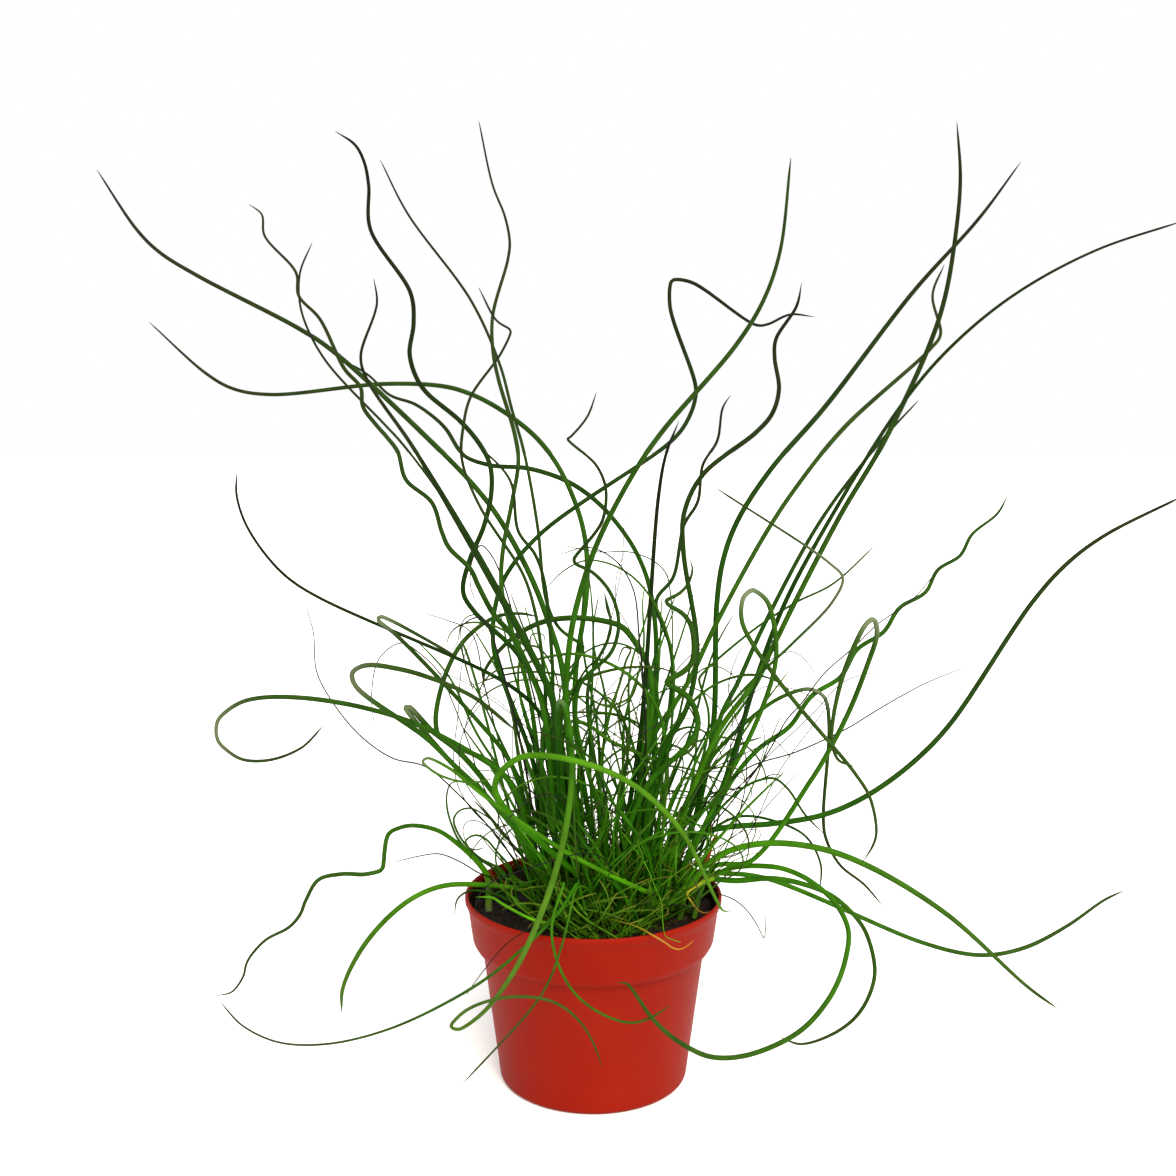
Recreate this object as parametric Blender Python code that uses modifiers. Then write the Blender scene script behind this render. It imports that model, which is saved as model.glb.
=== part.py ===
"""Potted soft rush: a curly rush in a round plastic nursery pot.

Metres, +Z up. The origin is the centre of the pot's base on the floor and the viewer stands at -Y.
Every stem is one solid, drawn as a route on the upright plane through the pot's axis and then moved
to its own depth, so that the plant keeps its outline from the front and spreads all round.
"""
import math

import bmesh
import bpy
import numpy as np

MM = 0.001

# Pot: round nursery pot with a rolled-in collar, sizes in mm
POT_HEIGHT = 89.0
RIM_RADIUS = 60.0
LIP_DROP = 3.0
COLLAR_TOP_RADIUS = 58.4
COLLAR_LOW_RADIUS = 56.4
COLLAR_LOW_Z = 68.0
COLLAR_UNDER_RADIUS = 52.0
COLLAR_UNDER_Z = 64.0
FOOT_RADIUS = 44.3
FOOT_ROUNDING = 3.0
POT_WALL = 1.6
POT_FLOOR = 2.4
POT_STEPS = 32
LIP_ROUNDING = 0.3
DRAIN_COUNT = 6
DRAIN_RING_RADIUS = 29.0
DRAIN_DIAMETER = 9.0
DRAIN_SIDES = 10
DRAIN_REACH = 1.0

# Soil plug and the crown that the stems grow from, in mm
SOIL_TOP_Z = 80.0
SOIL_GAP = 0.45
SOIL_BOTTOM_CLEAR = 0.4
SOIL_RINGS = 4
SOIL_STEPS = 24
SOIL_BUMP = 1.1
SOIL_LEVEL_OUT = 1.05
CROWN_CENTRE = (5.0, 0.0)
CROWN_HALF_ACROSS = 43.0
CROWN_HALF_DEEP = 33.0
CROWN_TOP_Z = 83.4
CROWN_UNDER_Z = 80.5
CROWN_EDGE_Z = 81.8
CROWN_STEPS = 28
STEM_START_GAP = 0.35

# Viewpoint that the routes are drawn from, in mm
EYE = (-2.5, -650.0, 325.4)

# Stem tubes, in mm: those at least THICK_FROM in radius at the base have six sides, the others four
THICK_FROM = 1.15
ROUTE_TOLERANCE = 1.0
TIGHT_BEND = 9.0
TIGHT_MOST = 3.0
TIP_RADIUS = 0.3
THINNING = 0.25
TIP_POWER = 5.0
FIRST_LEAN = 0.18

# Keeping the stems apart, in mm: the gap that is asked for and the moves of one round
STEM_GAP = 0.55
FACET_ROOM = 1.06
NEAR_BY = 4.0
POT_CLEARANCE = 1.0
RIM_REACH = 6.0
SPARE_GAP = 0.05
LEAST_MOVE = 0.02
POT_MOVE = 0.3
DEEP_SHARE = 0.5
LOOSE_SHARE = 0.6
NEIGHBOUR_SHARE = 0.35
CLEAR_ROUNDS = 260

# How much further than drawn the high parts of the stems lean to the front and the back
SPREAD_FROM = 140.0
SPREAD_FULL = 300.0
SPREAD = 1.65

# Young shoots round the crown, in mm
SHOOT_TRIES = 72
SHOOT_TURN = math.radians(137.508)
SHOOT_ROOM = 3.6
SHOOT_INSET = 5.0
SHOOT_SINK = 0.8
SHOOT_LENGTH = (66.0, 158.0)
SHOOT_LEAN = (math.radians(8.0), math.radians(38.0))
SHOOT_BEND = 10.0
SHOOT_RADIUS = 0.8
SHOOT_SPANS = 3


class Stem:
    """One stem: the route runs from the tip down towards the base, as (across, up) in mm.

    depth holds distances behind the pot's axis, evenly spread from the tip to just above the base,
    base is where the stem leaves the crown. radius is half its thickness low down, or a tuple of such
    halves, evenly spread from the base to the tip. coil is the (size, turns, start) of a sideways
    swing in depth.
    """

    def __init__(self, name, route, depth, base, radius, coil=None, ground=CROWN_TOP_Z, join=14.0):
        self.name = name
        self.route = route
        self.depth = depth
        self.base = base
        self.radius = radius
        self.coil = coil
        self.ground = ground
        self.join = join


STEMS = [
    Stem("stem_left_sweep",
         [(-217, 417), (-206, 399), (-195, 385), (-178, 373.5), (-149.5, 358.5), (-120, 342),
          (-92, 316), (-66, 292), (-47, 270.5), (-33, 247.5), (-23, 223.5), (-16.8, 205),
          (-13.2, 188), (-12, 160), (-9, 125)],
         (70, 60, 35, 15), (-7, 12), 1.2),
    Stem("stem_left_flat",
         [(-197, 351.5), (-184, 339), (-165, 324), (-147, 319.8), (-120, 322), (-85, 324.6),
          (-61, 322), (-40, 312), (-22, 296.5), (-10.8, 277.5), (-4.3, 257.5), (-2.8, 236),
          (-5, 215), (-8, 195), (-8, 165), (-2, 125)],
         (120, 85, 50, 25), (3, 21), 1.15),
    Stem("stem_left_coil",
         [(-151, 402.3), (-145.6, 398), (-144.7, 389), (-139, 381.6), (-131.3, 373), (-130.4, 363),
          (-121.4, 353), (-117.8, 343), (-110.9, 331), (-104, 323), (-102.6, 313), (-93.6, 302),
          (-87.3, 293), (-84.6, 282), (-73, 271.5), (-69.3, 260), (-65.5, 251), (-55.8, 241),
          (-51.5, 231.5), (-44.6, 219), (-37, 210), (-30, 196), (-24, 180), (-20, 150), (-18, 120)],
         (-50, -45, -35, -15), (-17, 5), (1.1, 1.05, 1.0, 0.76, 0.62, 0.32), (5.0, 5.5, 0.3)),
    Stem("stem_left_thin",
         [(-123.8, 386), (-129.5, 373), (-130, 360), (-126.8, 348.5), (-117, 331.5), (-102, 315),
          (-88.5, 301), (-72.6, 280.7), (-61.2, 260.5), (-50, 242), (-42, 226), (-36, 210),
          (-31, 190), (-27, 160), (-22, 125)],
         (40, 45, 30, 22), (-15, 17), 0.6),
    Stem("stem_left_dark",
         [(-97, 370.3), (-95.7, 361), (-99.5, 349), (-103.6, 335), (-99, 322.5), (-83.5, 300),
          (-69.6, 279), (-55, 251.5), (-42.5, 229), (-33.2, 211.5), (-24.5, 193.5), (-18.7, 180),
          (-16, 155), (-14, 125)],
         (-85, -70, -40, -15), (-13, -4), (1.4, 1.35, 1.25, 1.25, 0.58, 0.3)),
    Stem("stem_left_bow",
         [(-108.5, 333.5), (-100, 328), (-91, 319.5), (-80, 315.5), (-67.5, 306), (-58, 292.5),
          (-48, 288.5), (-29, 286.7), (-9, 279.5), (4.4, 269), (16, 254.5), (24, 238), (27.8, 219),
          (28.8, 200), (28.3, 175), (28, 150), (25, 120)],
         (140, 95, 60, 30), (21, 24), (1.1, 1.05, 1.0, 1.12, 0.92, 0.5)),
    Stem("stem_back_wavy",
         [(-112.5, 433.3), (-104, 427.5), (-99.5, 418), (-98.3, 406), (-98.7, 393.5), (-90.5, 380),
          (-81.5, 366), (-79.8, 351), (-81.7, 336), (-76, 322.3), (-59.8, 308), (-47.6, 291.5),
          (-45.9, 278), (-49.5, 261), (-57.3, 242), (-59, 229), (-50, 217), (-38, 206), (-29, 193),
          (-22, 176), (-18, 145), (-14, 118)],
         (-35, -25, -20, -8), (-9, 3), 0.95, (6.0, 3.0, 0.0)),
    Stem("stem_back_thin",
         [(-93.2, 421.3), (-81.7, 398.5), (-65.8, 378), (-52.6, 358), (-42.8, 336), (-36.5, 313),
          (-31.2, 294), (-26.4, 268), (-22.8, 241), (-21.3, 226), (-15.6, 214), (-8, 208.5),
          (-4.8, 205.5), (-5.6, 202.5), (-8.6, 195.5), (-12.7, 186), (-15, 160), (-10, 122)],
         (95, 75, 40, 28), (-3, 27), 0.75),
    Stem("stem_back_tall",
         [(-50, 437.7), (-46.4, 424), (-44.2, 410.5), (-38.5, 395.5), (-37, 383), (-42.5, 364),
          (-45.3, 348.5), (-43, 329), (-36.2, 306), (-33.8, 290), (-37, 270.6), (-41, 250),
          (-41.8, 232), (-38, 215), (-33, 198), (-29, 180), (-26, 150), (-23, 120)],
         (50, 35, 25, 15), (-21, 12), (0.95, 0.93, 0.9, 0.82, 0.6, 0.32), (4.0, 2.5, 1.0)),
    Stem("stem_hooked_thin",
         [(-50.8, 366.5), (-47.5, 359.5), (-43, 352.2), (-38.3, 349.3), (-36.9, 347.8),
          (-37.1, 345.8), (-42, 336.6), (-53.1, 322.7),
          (-58.4, 305), (-59, 289.5), (-54, 275), (-43, 256), (-34, 243), (-27.5, 225), (-24, 205),
          (-22, 180), (-24, 150), (-24, 120)],
         (-75, -60, -35, -12), (-23, -5), (0.8, 0.78, 0.65, 0.55, 0.46, 0.3)),
    Stem("stem_second_left",
         [(-53, 298.5), (-46.4, 290.3), (-37.6, 281.4), (-35.6, 270), (-34, 258.4), (-26.5, 247.8),
          (-22.5, 236), (-20.5, 220), (-19, 200), (-18, 175), (-17, 145), (-9, 118)],
         (20, 15, 10, 6), (-1, 5), 0.8),
    Stem("stem_left_long",
         [(-160.4, 285), (-160.9, 275), (-156.4, 260), (-142, 240), (-126, 228.6), (-107, 220.5),
          (-92, 214), (-75.6, 205.5), (-59, 198.4), (-43, 190), (-30, 180.5), (-21, 168), (-15, 145),
          (-8, 118)],
         (-30, -20, -5, 0), (-6, 1), (0.75, 0.74, 0.6, 0.46, 0.4, 0.3)),
    Stem("stem_left_hairpin",
         [(-62.2, 200.6), (-75.6, 207.8), (-88.3, 214.6), (-97.6, 219.3), (-98.3, 218),
          (-92.5, 213.2), (-82.2, 201.6), (-70.4, 188.5), (-54.7, 172.3), (-42.5, 157.8),
          (-35, 142), (-30, 122)],
         (-52, -50, -22, -2), (-26, 4), (1.0, 1.0, 0.88, 0.75, 0.72, 0.5)),
    Stem("stem_left_paddle",
         [(-36, 166.2), (-48.8, 177.5), (-63.2, 186.2), (-82.3, 193.2), (-100.9, 196.8),
          (-107, 195.9), (-110.5, 193.2), (-110.9, 190.4), (-110, 187.7), (-105.7, 184), (-96, 177),
          (-89.8, 172.6), (-74.8, 160.4), (-62, 147), (-48, 133),
          (-36, 118), (-26, 104)],
         (-80, -82, -50, -26), (-20, -20), (1.05, 1.02, 0.95, 0.85, 0.8, 0.6)),
    Stem("stem_left_loop",
         [(-124.6, 168.2), (-132.3, 159.7), (-146.8, 152.7), (-162.5, 152.4), (-173.5, 161.6),
          (-173.3, 170.3), (-161.7, 179.5), (-142.6, 181.8), (-113.3, 178.5), (-85.6, 170.7),
          (-70, 163), (-54, 154), (-40, 143), (-33, 128), (-30, 112)],
         (-110, -85, -45, -10), (-28, -2), (1.0, 0.98, 0.92, 0.86, 0.6, 0.34)),
    Stem("stem_left_kink",
         [(-60.3, 145), (-70.1, 157.8), (-79, 168), (-84.9, 174.3), (-86.4, 176.9), (-85.3, 177.3),
          (-80.8, 172.5), (-74.6, 166), (-63.9, 157.7), (-56.6, 149.2), (-47, 137), (-38, 122),
          (-29, 104)],
         (-30, -30, -20, -13), (-25, -11), (1.1, 1.1, 1.05, 1.05, 0.95, 0.5)),
    Stem("stem_front_broad",
         [(-46, 143.3), (-55.3, 141.4), (-67.2, 143.2), (-75.6, 147.6), (-79, 151.5), (-76.6, 153),
          (-68, 149), (-53.5, 137), (-40, 127.3), (-26.8, 118.6), (-12, 107.5), (2, 100.5),
          (15, 94), (24, 89)],
         (-70, -68, -55, -40), (27, -20), (1.3, 1.25, 1.15, 1.0, 0.75, 0.5)),
    Stem("stem_arch_left",
         [(-24.5, 219), (-33, 220.7), (-45, 219), (-58, 209.5), (-65, 199), (-69.3, 188),
          (-72.4, 175), (-71.5, 164), (-60, 156.5), (-48, 151), (-38, 141), (-30, 122)],
         (40, 38, 22, 12), (-27, 9), (1.05, 1.05, 1.05, 1.0, 1.0, 0.5)),
    Stem("stem_arch_top",
         [(-50.5, 186), (-50.2, 193), (-45.2, 201), (-37.5, 209), (-28.1, 214.8), (-18, 218.1),
          (-5, 218.6), (6, 217), (13, 214.5), (20, 206), (25, 196), (27, 180), (24, 160), (20, 125)],
         (55, 35, 10, 0), (17, 10), (1.12, 1.12, 1.15, 1.2, 1.1, 0.6)),
    Stem("stem_front_fall",
         [(4.2, 1.6), (0, 13.5), (-7, 25), (-17, 33.2), (-29.7, 36.7), (-43.2, 36), (-56, 32.4),
          (-64.5, 26.5), (-67.6, 21.8), (-64, 20.4), (-55.5, 25.8), (-46, 36.4), (-37.3, 49.7),
          (-30.6, 63), (-26.5, 73.5), (-20.6, 89), (-15, 108), (-11.8, 126.7), (-9.8, 150),
          (-11, 168), (-13.8, 178.5), (-15.4, 180), (-16.6, 177), (-16.5, 165), (-16, 150), (-17, 125),
          (-18, 104)],
         (-72, -82, -80, -66, -50, -28), (-16, -10), (1.35, 1.4, 1.45, 1.5, 1.55, 1.25, 0.72, 0.68, 0.35)),
    Stem("stem_front_arch",
         [(65.4, 79.7), (61.4, 79.1), (57.5, 84.5), (53.3, 96.3), (44.7, 112.4), (31.6, 129.1),
          (14.8, 142.6), (-3.1, 150), (-18, 153.6), (-32.7, 153.6), (-42.5, 147), (-45.7, 139),
          (-42, 130), (-30, 119), (-18, 107), (-9, 98)],
         (-74, -72, -60, -40), (-9, -15), 1.3),
    Stem("stem_low_coil",
         [(-178.8, 37.2), (-171.4, 39.1), (-166, 46), (-163.4, 54.2), (-155.6, 64), (-143.5, 71),
          (-137.8, 77.5), (-134, 86.5), (-129, 94.2), (-118, 97.2), (-105.3, 97.3), (-99, 99.5),
          (-98.2, 106), (-95.5, 116.5), (-86, 120.6), (-71.3, 117.7), (-58.7, 106.8), (-50, 97)],
         (-45, -40, -20, -6), (-49, -3), (1.4, 0.98, 0.84, 0.78, 0.56, 0.32), (5.0, 3.0, 0.5),
         SOIL_TOP_Z + 1.2, 8.0),
    Stem("stem_low_arch",
         [(-119.5, 28.8), (-120, 35), (-114.4, 51.7), (-103.6, 68.1), (-89.5, 82.1), (-73, 91),
          (-60, 92), (-45.2, 90.4), (-35, 89)],
         (-30, -20, -12, -8), (-29, -8), (0.92, 0.95, 0.95, 0.95, 0.92, 0.6), None, CROWN_TOP_Z, 8.0),
    Stem("stem_low_hook",
         [(-65.3, 77.5), (-63.7, 85), (-58, 89), (-48, 88), (-38, 84.5), (-31, 82)],
         (-24, -20, -16), (-26, -17), 0.42, None, CROWN_TOP_Z, 6.0),
    Stem("stem_low_sweep",
         [(-177, 34.2), (-168.2, 23.4), (-152, 14.5), (-133, 12.7), (-111.4, 15.8), (-82.5, 27.1),
          (-62, 38.4), (-44, 51), (-31, 64), (-23, 72.5), (-15, 80), (-10, 88), (-8, 92)],
         (-115, -105, -85, -66, -50), (-7, -28), (0.7, 0.62, 0.53, 0.45, 0.36, 0.3)),
    Stem("stem_pot_loop",
         [(36.3, 32.3), (26, 25.6), (17.9, 23.7), (8.3, 26.2), (-2.6, 32.5), (-11.4, 42),
          (-17.4, 55.3), (-19.5, 66.5), (-18.7, 77), (-15, 86), (-14, 92)],
         (-74, -72, -70, -66, -58), (-14, -23), 0.52),
    Stem("stem_pot_thin",
         [(-62.2, -6.8), (-51, 6), (-37, 22), (-26.8, 34.3), (-18, 51), (-14, 66), (-12, 78),
          (-8, 90)],
         (-82, -78, -74, -68, -56), (1, -27), 0.42),
    Stem("stem_right_under",
         [(11.5, 43.8), (16, 43.2), (21.5, 36.5), (28, 26), (41.5, 13.5), (53, 7.5), (66.3, 6.1),
          (81, 10), (99.3, 20.3), (112.6, 37.3), (119, 55), (120, 70), (112, 85), (95, 97.5),
          (78, 101.4), (63, 99.5)],
         (-72, -78, -50, -15, 0), (45, -6), (1.0, 1.0, 0.98, 0.92, 0.9, 0.5), None, CROWN_TOP_Z, 8.0),
    Stem("stem_right_curl",
         [(89, 16.5), (97.9, 13.1), (112, 17), (125, 27), (132.4, 42.7), (132.5, 55.2),
          (125.8, 73), (112.7, 86.1), (95.6, 93.1), (82, 95.1), (68, 94)],
         (5, 8, 10, 8), (47, 5), (1.12, 1.1, 0.95, 0.82, 0.7, 0.4), None, CROWN_TOP_Z, 8.0),
    Stem("stem_right_low",
         [(248.9, 89.2), (239.8, 84.5), (221.6, 70.9), (202.4, 60.7), (182.7, 57.4), (159.9, 62.2),
          (131.1, 72.9), (104.8, 84.9), (86, 93.5), (72, 97), (60, 97.5)],
         (70, 60, 35, 14), (43, 13), (1.0, 0.95, 0.88, 0.9, 0.92, 0.5), None, CROWN_TOP_Z, 8.0),
    Stem("stem_right_bright",
         [(220.5, 30.7), (205.8, 41.6), (191.9, 55), (171, 74), (150.7, 87.5), (126.2, 102.3),
          (105.6, 109.7), (85.2, 112.2), (68.7, 110.5), (56, 104), (50, 98)],
         (-60, -45, -25, -16), (40, -15), (1.2, 1.2, 1.2, 1.1, 0.85, 0.5), None, CROWN_TOP_Z, 8.0),
    Stem("stem_right_exit_low",
         [(265, 274), (245.6, 264.2), (222.9, 250.8), (202.5, 229.5), (185.5, 201.5), (165.3, 170.3),
          (142.6, 146.2), (112.8, 127.8), (83.4, 121.6), (60, 119.5), (45, 115), (34, 105)],
         (50, 40, 25, 12), (28, 7), (1.2, 1.15, 1.1, 0.98, 0.92, 0.55)),
    Stem("stem_right_exit_high",
         [(258, 395), (220.8, 382.5), (190.7, 366.6), (163.4, 345.2), (142.2, 321.5), (130.8, 304),
          (117.8, 281.6), (103, 257), (88.9, 229.7), (80.2, 206.3), (74, 188), (68.5, 166),
          (62, 145), (52, 120), (42, 102)],
         (-60, -45, -20, 0), (37, 3), (1.1, 1.05, 0.85, 0.65, 0.48, 0.32)),
    Stem("stem_right_tall",
         [(186.4, 420.3), (169.3, 396.6), (144.2, 368.4), (120.4, 336.6), (97.9, 307.3),
          (77, 282.8), (65, 263), (58.3, 243), (56, 222), (55.6, 195), (55.6, 172), (53, 150),
          (46, 120), (38, 104)],
         (80, 60, 35, 20), (33, 17), 1.2),
    Stem("stem_right_green",
         [(157.9, 437.2), (160.2, 416), (159.3, 392), (155.4, 362.7), (147.2, 336), (135.3, 309),
          (125, 289), (113, 268.5), (103.7, 250), (92.6, 227.7), (82, 205), (70, 182.5),
          (58.3, 166.6), (50, 145), (42, 120), (36, 104)],
         (-30, -25, -25, -6), (35, -6), 1.05),
    Stem("stem_right_curved_tip",
         [(154.5, 376.5), (150, 366), (151, 355), (153.9, 346), (145.4, 335.7), (119.3, 312.5),
          (101.5, 292.2), (81.6, 263.7), (65.3, 234), (53.3, 210.5), (43, 188), (33, 172),
          (26, 160), (22, 140), (22, 115)],
         (25, 20, 10, 6), (23, 4), (1.1, 1.05, 0.95, 0.9, 0.86, 0.4)),
    Stem("stem_right_fine",
         [(145.2, 317.2), (134, 305.4), (121.4, 289), (108.3, 271.8), (97.4, 254.4), (85.4, 230.4),
          (75.3, 209.9), (67.2, 190.5), (59.1, 173.8), (54, 155), (46, 130), (38, 112)],
         (115, 85, 50, 30), (31, 25), 1.1),
    Stem("stem_mid_sweep",
         [(86, 422), (83.8, 400), (82, 382), (76, 363), (64.9, 343.7), (47.6, 323.6), (28.3, 300),
          (13.9, 277.6), (3.2, 256.5), (-4.9, 234.6), (-9.8, 214), (-12.4, 190), (-12, 160),
          (-6, 120)],
         (-80, -55, -30, -9), (-2, -12), (1.25, 1.2, 1.05, 0.86, 0.72, 0.35)),
    Stem("stem_mid_crook",
         [(97.8, 353.8), (87, 354.8), (73.7, 350), (60, 357.1), (43.4, 368.7), (37.8, 369.9),
          (34.7, 369.6), (33.6, 366.8), (33.3, 361), (37, 347.6), (43, 332.8), (45.6, 319.8),
          (39.6, 304.3), (20.2, 287.7), (0, 274.7), (-19, 261.6), (-33, 247.5), (-41.7, 234.6),
          (-45, 222), (-45.8, 206), (-42, 190), (-35, 173), (-28, 152), (-26, 130), (-22, 112)],
         (60, 50, 25, 18), (-20, 21), 1.0),
    Stem("stem_mid_bend",
         [(91.8, 368.4), (89.8, 358.5), (82, 347.5), (80.4, 338), (82.6, 320), (78.2, 308.6),
          (62.3, 294.5), (49.2, 284), (41, 267), (40.5, 252), (44.4, 228), (47.3, 207),
          (46.5, 192), (41, 171.5), (32, 156), (26, 135), (24, 112)],
         (-25, -18, -12, -10), (25, -9), 1.05),
    Stem("stem_mid_wavy",
         [(61.2, 319.5), (58, 314.6), (56.9, 308), (56.2, 301.8), (53.8, 295.4), (49.4, 289),
          (47.9, 282.6), (47.9, 275), (45.6, 268.8), (41.4, 262.5), (38.1, 248), (36.3, 237.6),
          (30, 228.6), (28.4, 225.4), (31.9, 217), (35.7, 202), (36.5, 190), (34, 172), (30, 150),
          (28, 120)],
         (75, 60, 35, 22), (26, 19), 0.9),
    Stem("stem_mid_straight",
         [(38.2, 308), (33.8, 297.6), (30, 280), (28, 257), (26.5, 234), (25, 209), (23.5, 187),
          (21.3, 160), (16, 125)],
         (10, 8, 5, 2), (13, 1), 1.0),
    Stem("stem_mid_zigzag",
         [(1.2, 320.5), (-1.6, 312), (-6.7, 304.7), (-10.1, 301.1), (-11.6, 300.1), (-10.1, 298.7),
          (-5.8, 296), (-0.1, 290), (5, 280), (4.8, 265.5), (-2, 253.5), (-7.8, 247.6), (-8.9, 245.2),
          (-7.8, 243.4), (-1, 240), (7.5, 230.6), (11.5, 217), (9, 204.5), (2.2, 195.5), (-6, 188),
          (-8, 170), (0, 140), (5, 115)],
         (-55, -40, -25, -12), (7, -13), (0.9, 0.85, 0.75, 0.66, 0.55, 0.3)),
    Stem("stem_double_kink",
         [(43.6, 246), (44.9, 241), (43.7, 235.9), (40.7, 231.4), (35.8, 227.8), (33.1, 226.5),
          (33.8, 225.1), (38.8, 222.3), (43.9, 216.5), (46, 207), (45.1, 198), (41.1, 193.6),
          (35, 190.4), (33.8, 188.7), (35.6, 187.5), (41.2, 184.4), (46.3, 177.1), (48.2, 168.8),
          (43.8, 159.3), (33, 150), (24, 138), (16, 118)],
         (-30, -30, -25, -16), (13, -16), (1.1, 1.1, 1.05, 1.1, 0.98, 0.35)),
    Stem("stem_right_thin_kink",
         [(55.1, 278), (75.5, 264), (95.9, 250.9), (110, 241.5), (113.4, 236.5), (110, 227.8),
          (97.5, 213.7), (84.5, 200.2), (69.2, 185.4), (58, 172), (48, 152), (36, 120)],
         (-75, -60, -35, -22), (31, -12), 0.55),
    Stem("stem_right_thin_wave",
         [(127.6, 252), (117, 243), (109, 234.5), (94, 226.9), (75.3, 214.8), (55.3, 198),
          (48.6, 190.3), (50.9, 184), (53.2, 172), (51, 155), (42, 130), (34, 112)],
         (40, 30, 15, 11), (30, -1), 0.55),
    Stem("stem_right_great_loop",
         [(126, 103.1), (131, 112.5), (131.8, 123), (126.8, 137.4), (110.6, 158.6), (88.6, 184.7),
          (73.4, 205.6), (67.6, 218), (68.3, 228), (72.6, 231.5), (78.6, 227), (83, 212),
          (83.4, 198), (78.7, 179), (70, 158.6), (59, 137), (48, 112)],
         (-60, -45, -25, -10), (40, -3), 0.95),
    Stem("stem_right_coil",
         [(186.8, 274.8), (182.4, 266.5), (171.3, 257), (166.1, 247.2), (156.3, 240.7),
          (151.3, 230.8), (139.5, 223.3), (132.3, 212), (120.9, 204.2), (112.4, 190), (100.1, 182),
          (90.5, 168), (76.2, 157.2), (64, 142), (52, 118)],
         (60, 45, 25, 12), (40, 5), 1.05, (5.0, 4.5, 0.0)),
    Stem("stem_right_hook",
         [(121.1, 148.9), (113.5, 152), (110.3, 160), (111.3, 178), (115.6, 195.5), (121.3, 209),
          (124.6, 216), (127.6, 218), (129.6, 213), (126, 198.4), (117.8, 175.3), (104.8, 149),
          (92.3, 129.6), (80, 114), (73.5, 103.5), (66, 102), (57, 101)],
         (-35, -30, -10, -6), (47, -13), (1.0, 0.95, 0.95, 0.92, 0.9, 0.5), None, CROWN_TOP_Z, 8.0),
    Stem("stem_right_drop",
         [(136.2, 81.3), (127, 92), (115.2, 101.8), (107.8, 117), (107.6, 138), (108.8, 163.7),
          (106.6, 181), (98.5, 185.6), (83.6, 180.2), (66.9, 166.6), (54, 152), (44, 128),
          (36, 110)],
         (25, 28, 22, 18), (37, 12), 0.85),
    Stem("stem_right_arch_thin",
         [(107.4, 116.7), (98.4, 126.1), (90.4, 138.1), (84, 143.2), (76.9, 142.5), (66, 136),
          (56, 126), (46, 112)],
         (-50, -40, -25), (38, -10), 0.55),
    Stem("stem_right_inner",
         [(106.1, 88.4), (107, 97.4), (104.2, 108), (97.2, 117.1), (86.9, 121.4), (76, 125),
          (66, 124.6), (56, 119), (48, 108)],
         (22, 26, 26), (43, 19), 0.6),
    Stem("stem_short_curve",
         [(4.9, 231.2), (7, 222.9), (7.8, 213.4), (3.1, 202), (-1.8, 190), (-2.6, 174), (2, 145),
          (6, 115)],
         (-20, -14, -6), (7, -3), 0.8),
]


def seen_at(across, up, depth):
    """Return the point at a depth that the eye sees at (across, up) on the plane of the pot's axis."""
    eye = np.array(EYE)
    reach = (depth - eye[1]) / (0.0 - eye[1])
    return eye + (np.array([across, 0.0, up]) - eye) * reach


def smooth_route(points, per_span=8):
    """Return a smooth curve through the points, centripetal so that tight bends don't overshoot."""
    pts = [np.array(p, float) for p in points]
    pts = [2.0 * pts[0] - pts[1]] + pts + [2.0 * pts[-1] - pts[-2]]
    out = []
    for i in range(1, len(pts) - 2):
        p0, p1, p2, p3 = pts[i - 1], pts[i], pts[i + 1], pts[i + 2]
        t0 = 0.0
        t1 = t0 + math.sqrt(np.linalg.norm(p1 - p0)) + 1e-6
        t2 = t1 + math.sqrt(np.linalg.norm(p2 - p1)) + 1e-6
        t3 = t2 + math.sqrt(np.linalg.norm(p3 - p2)) + 1e-6
        for k in range(per_span):
            t = t1 + (t2 - t1) * k / per_span
            a1 = (t1 - t) / (t1 - t0) * p0 + (t - t0) / (t1 - t0) * p1
            a2 = (t2 - t) / (t2 - t1) * p1 + (t - t1) / (t2 - t1) * p2
            a3 = (t3 - t) / (t3 - t2) * p2 + (t - t2) / (t3 - t2) * p3
            b1 = (t2 - t) / (t2 - t0) * a1 + (t - t0) / (t2 - t0) * a2
            b2 = (t3 - t) / (t3 - t1) * a2 + (t - t1) / (t3 - t1) * a3
            out.append((t2 - t) / (t2 - t1) * b1 + (t - t1) / (t2 - t1) * b2)
    out.append(pts[-2])
    return np.array(out)


def tightness(points):
    """Return how many times finer than the rest each point of a curve is kept: more in tight bends."""
    run = np.diff(points, axis=0)
    length = np.maximum(np.linalg.norm(run, axis=1), 1e-6)
    way = run / length[:, None]
    turn = np.arccos(np.clip((way[:-1] * way[1:]).sum(axis=1), -1.0, 1.0))
    bend = turn * 2.0 / (length[:-1] + length[1:])
    return np.concatenate([[1.0], np.clip(bend * TIGHT_BEND, 1.0, TIGHT_MOST), [1.0]])


def thin_out(points, tolerance):
    """Return the fewest points that stay within the tolerance of the given curve."""
    finer = tightness(points)
    keep = [0, len(points) - 1]
    work = [(0, len(points) - 1)]
    while work:
        first, last = work.pop()
        if last - first < 2:
            continue
        a, b = points[first], points[last]
        run = b - a
        length = np.linalg.norm(run)
        inner = points[first + 1:last]
        if length < 1e-9:
            off = np.linalg.norm(inner - a, axis=1)
        else:
            along = np.clip((inner - a) @ run / length ** 2, 0.0, 1.0)
            off = np.linalg.norm(inner - (a + along[:, None] * run), axis=1)
        off = off * finer[first + 1:last]
        worst = int(np.argmax(off))
        if off[worst] > tolerance:
            keep.append(first + 1 + worst)
            work += [(first, first + 1 + worst), (first + 1 + worst, last)]
    return points[sorted(keep)]


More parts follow.
